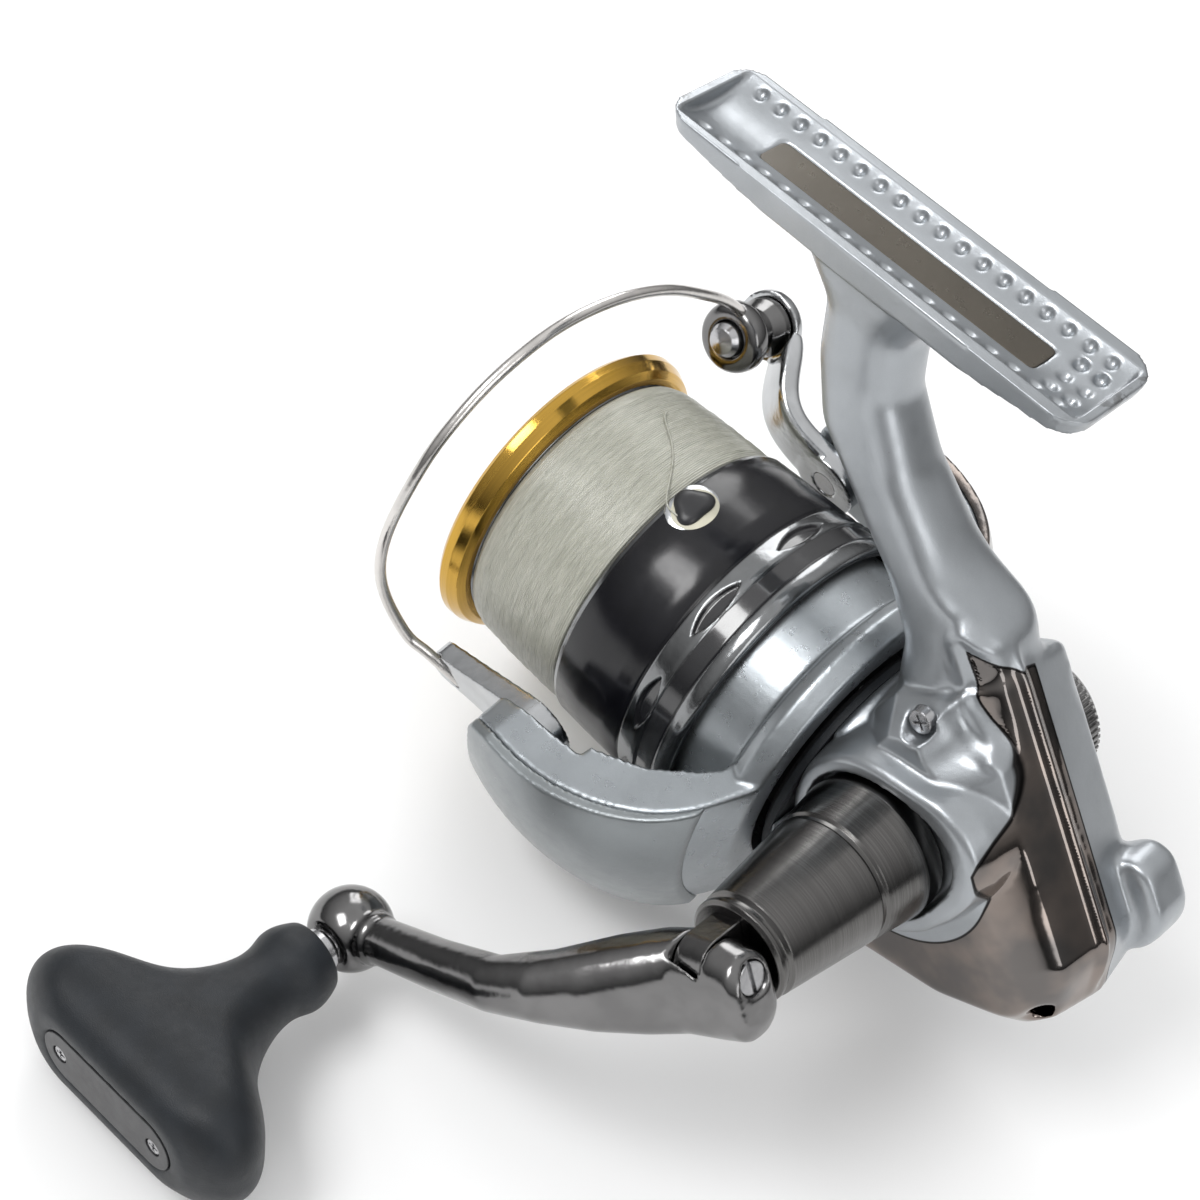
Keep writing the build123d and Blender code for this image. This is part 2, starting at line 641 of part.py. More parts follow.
export_step(handle_arm.part, "parts/handle_arm.step")

with BuildPart() as fold_screw:
    extrude(disc(fold_plane.offset(-5.8), 1.3), amount=12.4)
    extrude(disc(fold_plane.offset(-7.0), 2.1), amount=1.2)
    with BuildSketch(fold_plane.offset(-7.0)) as slot:
        Rectangle(5, 0.6)
    extrude(slot.sketch, amount=0.6, mode=Mode.SUBTRACT)
fold_screw.part.label = "fold_screw"
export_step(fold_screw.part, "parts/fold_screw.step")

with BuildPart() as knob_shaft:
    rod = [(58.05, 0), (58.05, 2.0), (65.9, 2.0), (65.9, 3.0), (66.9, 3.0), (66.9, 2.0), (97.0, 2.0),
        (97.0, 0)]
    revolve(outline(knob_section, rod), axis=knob_axis)
    revolve(outline(knob_section, [(93, 0), (97.1, 0), (97.1, 0.8),
        (93, 0.8)]), axis=knob_axis, mode=Mode.SUBTRACT)
knob_shaft.part.label = "knob_shaft"
export_step(knob_shaft.part, "parts/knob_shaft.step")

with BuildPart() as knob_bearings:
    for start in (69.0, 91.0):
        add(ball_bearing(knob_section, knob_axis, start, 2.04, 4.0, 2.6))
knob_bearings.part.label = "knob_bearings"
export_step(knob_bearings.part, "parts/knob_bearings.step")


def knob_face(y):
    bar = Vector(cos(radians(knob_turn)), 0, sin(radians(knob_turn)))
    return Plane(origin=knob_axis.position + Vector(0, y, 0), x_dir=bar, z_dir=(0, 1, 0))


knob_levels = [
    # y, width of the bar, thickness, corner
    (knob_start, 9.8, 9.8, 4.85),
    (75.0, 10.6, 10.4, 5.1),
    (81.0, 13.6, 12.0, 5.8),
    (86.0, 21.5, 14.6, 6.8),
    (90.5, 35.0, 17.4, 7.4),
    (95.0, 40.6, 18.6, 7.8),
    (98.6, 37.6, 17.0, 7.6),
    (knob_end, 29.0, 12.0, 5.4),
]
knob_sections = []
for y, wide, thick, corner in knob_levels:
    with BuildSketch(knob_face(y)) as level:
        RectangleRounded(wide, thick, corner)
    knob_sections.append(level.sketch)
with BuildPart() as knob:
    loft(knob_sections)
    bore = [(60, 0), (60, 4.02), (94.0, 4.02), (94.0, 3.0), (97.6, 3.0), (97.6, 3.6), (102, 3.6), (102, 0)]
    revolve(outline(knob_section, bore), axis=knob_axis, mode=Mode.SUBTRACT)
    with BuildSketch(knob_face(100.0)) as recess:
        RectangleRounded(24.0, 8.0, 3.9)
    extrude(recess.sketch, amount=3, mode=Mode.SUBTRACT)
    with Locations(knob_face(99.0)):
        with Locations((9.0, 0), (-9.0, 0)):
            Cylinder(0.8, 8.0, mode=Mode.SUBTRACT)
knob.part.label = "knob"
export_step(knob.part, "parts/knob.step")

with BuildPart() as knob_plate:
    with BuildSketch(knob_face(100.03)) as plate:
        RectangleRounded(23.9, 7.9, 3.85)
        with Locations((9.0, 0), (-9.0, 0)):
            Circle(1.3, mode=Mode.SUBTRACT)
    extrude(plate.sketch, amount=0.95)
knob_plate.part.label = "knob_plate"
export_step(knob_plate.part, "parts/knob_plate.step")

with BuildPart() as knob_screws:
    for x in (9.0, -9.0):
        seat = knob_face(100.05)
        seat = Plane(origin=seat.origin + seat.x_dir * x, x_dir=seat.x_dir, z_dir=seat.z_dir)
        add(pan_screw(seat, 1.25, 0.8, 0.75, 4.5))
knob_screws.part.label = "knob_screws"
export_step(knob_screws.part, "parts/knob_screws.step")

with BuildPart() as shaft_screw:
    add(pan_screw(Plane(origin=knob_axis.position + Vector(0, 97.05, 0), z_dir=(0, 1, 0)), 2.4, 0.9,
        0.75, 3.8))
shaft_screw.part.label = "shaft_screw"
export_step(shaft_screw.part, "parts/shaft_screw.step")

# ---- Pinion, worm and slider ----
with BuildPart() as pinion:
    steps = [(-3.5, 0), (-3.5, 2.9), (-0.6, 2.9), (-0.6, 2.7), (4.1, 2.7), (4.1, 4.4), (8.5, 4.4),
        (8.5, 3.5), (13.2, 3.5)]
    steps += [(13.2, 3.35), (39.9, 3.35), (39.9, 0)]
    revolve(outline(side_plane, steps), axis=spool_axis)
    extrude(gear_outline(cross_plane(-0.5), pinion_teeth, 0.6, 0.3), amount=4.6)
    revolve(outline(side_plane, [(-5, 0), (42, 0), (42, pinion_bore),
        (-5, pinion_bore)]), axis=spool_axis, mode=Mode.SUBTRACT)
pinion.part.label = "pinion"
export_step(pinion.part, "parts/pinion.step")

with BuildPart() as worm_gear:
    extrude(gear_outline(cross_plane(-0.3, 0, -worm_drop), worm_teeth, 0.6, 0.3), amount=3.9)
    extrude(disc(cross_plane(-0.4, 0, -worm_drop), 1.32), amount=4.2, mode=Mode.SUBTRACT)
worm_gear.part.label = "worm_gear"
export_step(worm_gear.part, "parts/worm_gear.step")

worm_radius = 2.4
with BuildPart() as worm_shaft:
    rod = [(-26.3, 0), (-26.3, 1.2), (-23.9, 1.2), (-23.9, worm_radius), (-0.4, worm_radius),
        (-0.4, 1.28), (3.9, 1.28)]
    rod += [(3.9, 1.2), (6.2, 1.2), (6.2, 0)]
    revolve(outline(worm_plane, rod), axis=worm_axis)
    for hand in (True, False):
        path = Helix(pitch=7.2, height=18.0, radius=worm_radius, center=at(-21.4, 0, -worm_drop),
            direction=(1, 0, 0),
                     lefthand=hand)
        with BuildSketch(Plane(origin=path @ 0, z_dir=path % 0)) as cut:
            Circle(0.5)
        sweep(cut.sketch, path=path, mode=Mode.SUBTRACT)
worm_shaft.part.label = "worm_shaft"
export_step(worm_shaft.part, "parts/worm_shaft.step")

slider_x = -14.7
slider_length = 4.2
with BuildPart() as slider:
    with BuildSketch(cross_plane(slider_x - slider_length / 2)) as plate:
        Circle(2.95)
        with BuildLine():
            Polyline((-8.2, -7.6), (-8.2, -4.4), (-4.0, -2.0), (2.9, 0), (2.9, -6.6), (-3.0, -6.6),
                (-5.2, -7.6), close=True)
        make_face()
        Circle(shaft_radius + slack, mode=Mode.SUBTRACT)
        with Locations((guide_y, guide_z)):
            Circle(1.05, mode=Mode.SUBTRACT)
    extrude(plate.sketch, amount=slider_length)
    with Locations(at(slider_x, 0, -4.6)):
        Cylinder(1.25, 4.2, mode=Mode.SUBTRACT)
slider.part.label = "slider"
export_step(slider.part, "parts/slider.step")

with BuildPart() as pawl:
    with Locations(at(slider_x, 0, -4.65)):
        Cylinder(1.2, 3.7)
pawl.part.label = "pawl"
export_step(pawl.part, "parts/pawl.step")

# ---- Main shaft and what rides on it ----
shaft_rear = -18.4
shaft_front = 66.4
hub_rear = 47.2
with BuildPart() as main_shaft:
    extrude(disc(cross_plane(shaft_rear), shaft_radius), amount=shaft_front - shaft_rear)
main_shaft.part.label = "main_shaft"
export_step(main_shaft.part, "parts/main_shaft.step")

# Hub fixed to the main shaft by a cross pin; the spool's click works on its teeth.
with BuildPart() as spool_hub:
    with BuildSketch(cross_plane(hub_rear)) as ratchet:
        Circle(5.4)
        with PolarLocations(5.4, 24):
            RegularPolygon(0.55, 3)
        Circle(shaft_radius + slack, mode=Mode.SUBTRACT)
    extrude(ratchet.sketch, amount=1.8)
    extrude(ring(cross_plane(hub_rear + 1.8), 3.4, shaft_radius + slack), amount=9.0)
spool_hub.part.label = "spool_hub"
export_step(spool_hub.part, "parts/spool_hub.step")

# ---- Spool, line and drag ----
clip_x = 41.2
clip_turn = 76.0
clip_way = (0, cos(radians(clip_turn)), sin(radians(clip_turn)))
clip_plane = Plane(origin=at(clip_x, 0, 0), x_dir=(1, 0, 0), z_dir=clip_way)
hub_bore = 3.45
chamber_radius = 12.3
chamber_rear = 57.0
hollows = 9  # shallow eye-shaped hollows round the skirt
hollow_x = 29.6
hollow_start = 55.0
with BuildPart() as spool:
    skirt = [(skirt_rear, 22.2), (skirt_rear, 23.2), (skirt_rear + 0.5, skirt_radius), (29.8, skirt_radius)]
    skirt += [(30.4, 23.1), (43.4, 22.75), (44.4, 22.4), (flange_x, 21.8), (flange_x, arbor_radius)]
    skirt += [(62.9, arbor_radius), (62.9, 20.6), (64.4, 20.6), (64.4, chamber_radius),
        (chamber_rear, chamber_radius)]
    skirt += [(chamber_rear, hub_bore), (54.3, hub_bore), (54.3, 6.52), (51.0, 6.52), (51.0, 8.2),
        (54.6, 10.0)]
    skirt += [(54.6, 13.2), (43.4, 13.2)]
    skirt += [(43.4, 21.4), (42.0, 21.9)]
    revolve(outline(side_plane, skirt), axis=spool_axis)
    for index in range(hollows):
        turn = radians(hollow_start + index * 360 / hollows)
        side = Plane(origin=at(hollow_x), x_dir=(1, 0, 0), z_dir=(0, cos(turn), sin(turn)))
        with BuildSketch(side.offset(skirt_radius - 0.9)) as hollow:
            Ellipse(1.3, 4.6)
        extrude(hollow.sketch, amount=3, mode=Mode.SUBTRACT)
    with BuildSketch(clip_plane.offset(22.1)) as clip_seat:
        Ellipse(3.5, 4.2)
    extrude(clip_seat.sketch, amount=3, mode=Mode.SUBTRACT)
spool.part.label = "spool"
export_step(spool.part, "parts/spool.step")

with BuildPart() as spool_lip:
    section = [(62.95, 20.64), (62.95, 21.6), (63.6, 22.7), (65.0, 23.4), (66.2, lip_radius), (lip_x, 23.0)]
    section += [(66.9, 22.2), (66.0, 20.8), (64.44, 19.0), (64.44, 20.64)]
    revolve(outline(side_plane, section), axis=spool_axis)
spool_lip.part.label = "spool_lip"
export_step(spool_lip.part, "parts/spool_lip.step")

with BuildPart() as line_pack:
    wound = [(flange_x + 0.05, arbor_radius + 0.05), (flange_x + 0.05, 22.0), (46.0, line_radius),
        (54.0, 22.1)]
    wound += [(61.5, 21.5), (62.85, 20.4), (62.85, arbor_radius + 0.05)]
    revolve(outline(side_plane, wound), axis=spool_axis)
line_pack.part.label = "line_pack"
export_step(line_pack.part, "parts/line_pack.step")

# Line clip on the skirt: a sprung tab on an oval base.
with BuildPart() as line_clip:
    with BuildSketch(clip_plane.offset(22.14)) as base:
        Ellipse(3.44, 4.14)
    extrude(base.sketch, amount=0.8)
    with BuildSketch(clip_plane.offset(22.9)) as tab:
        with BuildLine():
            Polyline((-2.0, -0.9), (-2.0, 0.9), (2.6, 2.1), (2.6, -2.1), close=True)
        make_face()
        fillet(tab.vertices(), 0.7)
    extrude(tab.sketch, amount=1.1)
line_clip.part.label = "line_clip"
export_step(line_clip.part, "parts/line_clip.step")

with BuildPart() as spool_bearing:
    add(ball_bearing(side_plane, spool_axis, 51.2, 3.45, 6.5, 3.0))
spool_bearing.part.label = "spool_bearing"
export_step(spool_bearing.part, "parts/spool_bearing.step")

felt_thick = 1.1
plate_thick = 0.7
stack_pitch = felt_thick + plate_thick + 0.1
stack_rear = chamber_rear + 0.05
with BuildPart() as drag_felts:
    for level in range(3):
        extrude(ring(cross_plane(stack_rear + level * stack_pitch), 11.8, 4.0), amount=felt_thick)
drag_felts.part.label = "drag_felts"
export_step(drag_felts.part, "parts/drag_felts.step")

with BuildPart() as drag_plates:
    for level in range(3):
        start = stack_rear + felt_thick + 0.05 + level * stack_pitch
        extrude(ring(cross_plane(start), 12.0, 4.0), amount=plate_thick)
drag_plates.part.label = "drag_plates"
export_step(drag_plates.part, "parts/drag_plates.step")

clip_start = stack_rear + 3 * stack_pitch + 0.05
with BuildPart() as drag_clip:
    with BuildSketch(cross_plane(clip_start)) as wire_ring:
        Circle(12.25)
        Circle(11.45, mode=Mode.SUBTRACT)
        with Locations((0, 12)):
            Rectangle(5, 3, mode=Mode.SUBTRACT)
    extrude(wire_ring.sketch, amount=0.7)
drag_clip.part.label = "drag_clip"
export_step(drag_clip.part, "parts/drag_clip.step")

with BuildPart() as click_pawl:
    with BuildSketch(cross_plane(hub_rear + 0.2)) as click:
        with Locations((0, 9.3)):
            Circle(1.6)
            Circle(0.55, mode=Mode.SUBTRACT)
        with Locations((0, 7.2)):
            Rectangle(0.9, 2.4)
    extrude(click.sketch, amount=1.2)
click_pawl.part.label = "click_pawl"
export_step(click_pawl.part, "parts/click_pawl.step")

# ---- Drag knob on the front end of the main shaft ----
knob_rear = clip_start + 0.05
knob_front = 73.2
with BuildPart() as drag_knob:
    cap = [(knob_rear, 0), (knob_rear, 10.6), (66.8, 10.6), (67.2, 11.2), (68.6, 11.2), (69.6, 10.2),
        (69.6, 0)]
    revolve(outline(side_plane, cap), axis=spool_axis)
    with BuildSketch(cross_plane(69.0)) as fin:
        RectangleRounded(18.4, 5.0, 2.2)
    extrude(fin.sketch, amount=knob_front - 69.0, taper=12)
    with Locations(cross_plane(68.0)):
        with PolarLocations(11.6, 12):
            Cylinder(0.9, 8.0, mode=Mode.SUBTRACT)
    bore = [(60, 0), (60, 6.0), (66.5, 6.0), (66.5, 0)]
    revolve(outline(side_plane, bore), axis=spool_axis, mode=Mode.SUBTRACT)
drag_knob.part.label = "drag_knob"
export_step(drag_knob.part, "parts/drag_knob.step")

with BuildPart() as knob_nut:
    with BuildSketch(cross_plane(65.0)) as hexagon:
        RegularPolygon(5.4, 6)
        Circle(shaft_radius + slack, mode=Mode.SUBTRACT)
    extrude(hexagon.sketch, amount=1.4)
knob_nut.part.label = "knob_nut"
export_step(knob_nut.part, "parts/knob_nut.step")

# ---- Rotor with its two arms ----
arm_outer_curve = [(12.6, 30.7), (17.0, 35.0), (23.2, 37.8), (31.9, arm_outer), (45.5, 37.4)]
cover_thick = 1.6


def arm_section(outer_drop, inner_points):
    """The arm's section through the spool axis: its outer curve lowered by outer_drop."""
    with BuildSketch(side_plane) as face:
        with BuildLine():
            crest = [(x, r - outer_drop) for x, r in arm_outer_curve]
            Spline(*crest)
            Polyline(crest[-1], *inner_points, crest[0])
        make_face()
    return face.sketch


def arm_width(trim=0.0):
    """Both arms seen square to their length: wide at the root, rounded at the tip."""
    tip = 46.5 - trim
    side = [(8.0, 15.0), (24.0, 11.4), (34.0, 9.3), (tip - 5.0, 8.2), (tip - 1.6, 6.6), (tip, 3.4)]
    with BuildPart() as prism:
        with BuildSketch(arm_face(0)) as face:
            with BuildLine():
                Polyline(*[(x, -w) for x, w in side], *[(x, w) for x, w in reversed(side)], close=True)
            make_face()
        extrude(face.sketch, amount=60, both=True)
    return prism.part


arm_hollow = [(45.5, arm_inner), (30.0, 30.6), (22.5, 28.8), (17.5, 26.0), (15.2, 24.2), (15.0, 21.0),
    (10.0, 21.0), (9.6, 24.0)]
with BuildPart() as arm_body:
    revolve(arm_section(cover_thick + slack, arm_hollow), axis=spool_axis)
    add(arm_width(), mode=Mode.INTERSECT)
    for side in (1, -1):
        with Locations(Plane(origin=on_rotor(42.0, side * 28.3, 0), x_dir=(1, 0, 0), z_dir=arm_out)):
            Box(23.0, 32.0, 5.0, mode=Mode.SUBTRACT)

rotor_front = 36.5
with BuildPart() as rotor:
    drum = [(9.6, 19.4), (9.6, 24.0), (12.5, 24.8), (14.4, 23.6), (15.2, 21.2), (rotor_front, 21.2),
        (rotor_front, 3.4)]
    drum += [(23.0, 3.4), (23.0, 8.0), (33.5, 8.0), (33.5, 19.4)]
    revolve(outline(side_plane, drum), axis=spool_axis)
    add(arm_body.part)
    for side in (1, -1):
        face = Plane(origin=on_rotor(pivot_x, side * 25.0, 0), z_dir=arm_out * side)
        extrude(disc(face, 2.05), amount=20, mode=Mode.SUBTRACT)
        extrude(disc(face.offset(9.0), 3.5), amount=12, mode=Mode.SUBTRACT)
    with Locations(Plane(origin=on_rotor(28.0, -34.8, 0), x_dir=(1, 0, 0), z_dir=-arm_out)):
        Box(16.4, 4.6, 6.4, mode=Mode.SUBTRACT)
rotor.part.label = "rotor"
export_step(rotor.part, "parts/rotor.step")

cover_under = [(45.5, 37.4 - cover_thick), (31.9, arm_outer - cover_thick), (23.2, 37.8 - cover_thick)]
cover_under += [(17.0, 35.0 - cover_thick), (12.6, 30.7 - cover_thick)]


def arm_cover(side):
    with BuildPart() as shell:
        with BuildSketch(side_plane) as face:
            with BuildLine():
                crest = Spline(*arm_outer_curve)
                under = Spline(*cover_under)
                Line(crest @ 1, under @ 0)
                Line(under @ 1, crest @ 0)
            make_face()
        revolve(face.sketch, axis=spool_axis)
        add(arm_width(), mode=Mode.INTERSECT)
        split(bisect_by=Plane(origin=at(), z_dir=arm_out * side), keep=Keep.TOP)
    return shell.part


with BuildPart() as left_arm_cover:
    add(arm_cover(1))
left_arm_cover.part.label = "left_arm_cover"
export_step(left_arm_cover.part, "parts/left_arm_cover.step")

with BuildPart() as right_arm_cover:
    add(arm_cover(-1))
right_arm_cover.part.label = "right_arm_cover"
export_step(right_arm_cover.part, "parts/right_arm_cover.step")

with BuildPart() as clutch_sleeve:
    extrude(ring(cross_plane(13.3), clutch_inner, 3.42), amount=6.9)
clutch_sleeve.part.label = "clutch_sleeve"
export_step(clutch_sleeve.part, "parts/clutch_sleeve.step")

with BuildPart() as rotor_nut:
    with BuildSketch(cross_plane(rotor_front + slack)) as hexagon:
        RegularPolygon(6.4, 6)
        Circle(3.42, mode=Mode.SUBTRACT)
    extrude(hexagon.sketch, amount=3.2)
rotor_nut.part.label = "rotor_nut"
export_step(rotor_nut.part, "parts/rotor_nut.step")

with BuildPart() as bail_spring:
    coil = Helix(pitch=1.5, height=10.0, radius=1.5, center=on_rotor(24.5, -33.6, 0), direction=(1, 0, 0))
    with BuildSketch(Plane(origin=coil @ 0, z_dir=coil % 0)) as wire:
        Circle(0.3)
    sweep(wire.sketch, path=coil)
bail_spring.part.label = "bail_spring"
export_step(bail_spring.part, "parts/bail_spring.step")

with BuildPart() as spring_rod:
    extrude(disc(Plane(origin=on_rotor(21.4, -33.6, 0), z_dir=(1, 0, 0)), 0.8), amount=14.4)
spring_rod.part.label = "spring_rod"
export_step(spring_rod.part, "parts/spring_rod.step")

# ---- Bail: two levers, wire, line roller ----
lever_near = 27.3
lever_far = 30.5
roller_x, roller_u, roller_w = 62.0, -33.0, 10.5
roller_tilt = 60.0
roller_axis = arm_out * sin(radians(roller_tilt)) + arm_up * cos(radians(roller_tilt))
roller_middle = on_rotor(roller_x, roller_u, roller_w)
roller_section = Plane(origin=roller_middle, x_dir=roller_axis, z_dir=Vector(1, 0, 0))


def roller_turned(points):
    """A part turned about the line roller's own axis."""
    with BuildPart() as turned:
        revolve(outline(roller_section, points), axis=Axis(roller_middle, roller_axis))
    return turned.part


with BuildPart() as bail_lever:
    with BuildSketch(arm_face(lever_near)) as plate:
        with Locations((pivot_x, 0)):
            Circle(5.0)
        with Locations((58.0, 4.1)):
            Circle(2.6)
        make_hull()
        with Locations((pivot_x, 0)):
            Circle(2.02, mode=Mode.SUBTRACT)
    extrude(plate.sketch, amount=lever_far - lever_near)
    socket_start = on_rotor(55.0, 29.45, -5.85)
    socket_run = on_rotor(63.5, 32.26, 1.69) - on_rotor(57.0, 30.13, -4.07)
    extrude(disc(Plane(origin=socket_start, z_dir=socket_run), 0.84), amount=14, mode=Mode.SUBTRACT)
bail_lever.part.label = "bail_lever"
export_step(bail_lever.part, "parts/bail_lever.step")

neck = [
    # x, u, w, width, thickness
    (42.0, -28.9, 0.5, 9.6, 3.2),
    (46.5, -28.9, 2.2, 8.8, 3.2),
    (51.5, -29.6, 4.4, 8.4, 3.2),
    (55.5, -33.4, 6.2, 8.4, 3.2),
    (58.6, -37.4, 7.6, 7.6, 2.4),
]
neck_sections = []
for row, (x, u, w, wide, thick) in enumerate(neck):
    ahead = neck[min(row + 1, len(neck) - 1)]
    behind = neck[max(row - 1, 0)]
    run = on_rotor(*ahead[:3]) - on_rotor(*behind[:3])
    across = run.cross(arm_out).normalized()
    with BuildSketch(Plane(origin=on_rotor(x, u, w), x_dir=across, z_dir=run)) as level:
        RectangleRounded(wide, thick, 1.1)
    neck_sections.append(level.sketch)
with BuildPart() as roller_lever:
    with BuildSketch(arm_face(-lever_far)) as plate:
        with Locations((pivot_x, 0)):
            Circle(5.2)
    extrude(plate.sketch, amount=lever_far - lever_near)
    loft(neck_sections)
    add(roller_turned([(-6.4, 0), (-6.4, 4.6), (-5.8, 5.2), (-4.3, 5.2), (-4.3, 0)]))
    add(roller_turned([(-4.25, 0), (4, 0), (4, 5.2), (-4.25, 5.2)]), mode=Mode.SUBTRACT)
    add(roller_turned([(-9, 0), (0, 0), (0, 1.52), (-9, 1.52)]), mode=Mode.SUBTRACT)
    extrude(disc(Plane(origin=on_rotor(pivot_x, -40, 0), z_dir=arm_out), 2.02), amount=20,
        mode=Mode.SUBTRACT)
roller_lever.part.label = "roller_lever"
export_step(roller_lever.part, "parts/roller_lever.step")

with BuildPart() as lever_screws:
    for side in (1, -1):
        face = Plane(origin=on_rotor(pivot_x, side * 34.05, 0), x_dir=(1, 0, 0), z_dir=arm_out * side)
        add(pan_screw(face, 3.3, 1.6, 2.0, 6.6))
lever_screws.part.label = "lever_screws"
export_step(lever_screws.part, "parts/lever_screws.step")

with BuildPart() as line_roller:
    add(roller_turned([(-3.9, 2.45), (-3.9, 4.4), (-3.0, 4.3), (-0.9, 3.4), (0.4, 3.4), (1.5, 4.0),
        (2.1, 4.0), (2.1, 2.45)]))
line_roller.part.label = "line_roller"
export_step(line_roller.part, "parts/line_roller.step")

with BuildPart() as roller_bush:
    add(roller_turned([(-4.2, 1.54), (-4.2, 2.4), (2.3, 2.4), (2.3, 1.54)]))
roller_bush.part.label = "roller_bush"
export_step(roller_bush.part, "parts/roller_bush.step")

with BuildPart() as roller_screw:
    add(roller_turned([(-6.3, 0), (-6.3, 1.5), (5.0, 1.5), (5.0, 2.5), (6.2, 2.5), (7.1, 1.9), (7.6, 0)]))
roller_screw.part.label = "roller_screw"
export_step(roller_screw.part, "parts/roller_screw.step")

wire_radius = 0.8
wire_way = [
    # x, angle from the left arm, distance from the spool axis
    (63.5, 3.0, 32.3),
    (67.3, 17.5, 33.9),
    (67.8, 33.0, 36.0),
    (67.6, 50.0, 37.2),
    (67.5, 62.0, 37.7),
    (67.3, 75.0, 37.8),
    (66.8, 90.0, 37.7),
    (65.9, 105.0, 37.0),
    (64.8, 120.0, 36.1),
    (63.7, 134.0, 35.3),
]
wire_points = [on_rotor(x, r * cos(radians(a)), r * sin(radians(a))) for x, a, r in wire_way]
wire_start = on_rotor(55.4, 29.6, -5.5)
wire_leave = on_rotor(60.2, 31.18, -1.24)
cap_side = arm_up * sin(radians(roller_tilt)) - arm_out * cos(radians(roller_tilt))
wire_end = roller_middle + roller_axis * 4.2 + cap_side * 4.2
with BuildPart() as bail_wire:
    with BuildLine() as way:
        lead = Line(wire_start, wire_leave)
        Spline(wire_leave, *wire_points, wire_end, tangents=(lead % 1, arm_up * -0.9 - arm_out * 0.35))
    with BuildSketch(Plane(origin=wire_start, z_dir=lead % 0)) as wire:
        Circle(wire_radius)
    sweep(wire.sketch, path=way.line)
    add(roller_turned([(2.4, 1.6), (2.4, 4.9), (3.0, 5.2), (4.6, 5.0), (5.5, 4.2), (5.6, 2.8),
        (4.9, 2.8), (4.9, 1.6)]))
bail_wire.part.label = "bail_wire"
export_step(bail_wire.part, "parts/bail_wire.step")
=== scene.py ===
"""A spinning reel, dressed for a studio picture.

Blender works in metres. Sizes below are in millimetres from the gearbox centre on the spool axis: x runs
ahead to the spool, y to the crank's side and z up to the foot."""

import math

import bmesh
import bpy
import numpy as np
from mathutils import Matrix, Vector
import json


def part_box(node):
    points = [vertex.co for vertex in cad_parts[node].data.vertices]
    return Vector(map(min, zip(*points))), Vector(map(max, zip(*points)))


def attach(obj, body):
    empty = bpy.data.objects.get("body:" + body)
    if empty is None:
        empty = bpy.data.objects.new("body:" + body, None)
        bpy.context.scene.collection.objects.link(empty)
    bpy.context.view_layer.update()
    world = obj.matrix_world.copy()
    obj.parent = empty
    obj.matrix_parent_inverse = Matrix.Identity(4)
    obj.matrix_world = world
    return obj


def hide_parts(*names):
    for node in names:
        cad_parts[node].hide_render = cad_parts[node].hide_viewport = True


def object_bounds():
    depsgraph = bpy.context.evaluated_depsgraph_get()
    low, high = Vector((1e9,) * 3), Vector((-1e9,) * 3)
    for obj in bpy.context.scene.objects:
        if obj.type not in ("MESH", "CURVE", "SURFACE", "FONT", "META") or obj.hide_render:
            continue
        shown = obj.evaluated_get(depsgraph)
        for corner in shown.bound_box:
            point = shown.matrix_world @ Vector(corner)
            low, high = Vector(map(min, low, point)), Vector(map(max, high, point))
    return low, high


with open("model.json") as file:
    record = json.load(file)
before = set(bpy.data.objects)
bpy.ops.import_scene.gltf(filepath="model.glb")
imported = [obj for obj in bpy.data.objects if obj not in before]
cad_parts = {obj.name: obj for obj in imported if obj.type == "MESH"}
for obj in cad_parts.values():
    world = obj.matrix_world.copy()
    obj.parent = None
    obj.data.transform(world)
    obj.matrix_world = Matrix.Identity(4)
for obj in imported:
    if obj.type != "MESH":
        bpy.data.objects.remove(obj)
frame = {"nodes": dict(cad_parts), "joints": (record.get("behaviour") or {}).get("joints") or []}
cad_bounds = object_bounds()
nodes = frame["nodes"]
MM = 0.001
WELD = 2e-6  # vertices nearer than this, in metres, are joined


# ---------------------------------------------------------------- places
def centre(node):
    low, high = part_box(node)
    return (Vector(low) + Vector(high)) / 2


shaft = centre("main_shaft")
crank = centre("side_cap")
SPOOL_START = 22.4  # the spool's rear edge
ORIGIN = Vector((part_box("spool")[0][0] - SPOOL_START * MM, shaft.y, shaft.z))  # the gearbox centre
ARM_TURN = math.radians(-15)  # the left rotor arm hangs a little below level


def at(x, y, z):
    """A place given in millimetres from the gearbox centre."""
    return ORIGIN + Vector((x, y, z)) * MM


def on_rotor(x, u, w):
    """A place in the rotor's own directions: u along the left arm, w square to it."""
    c, s = math.cos(ARM_TURN), math.sin(ARM_TURN)
    return at(x, u * c - w * s, u * s + w * c)


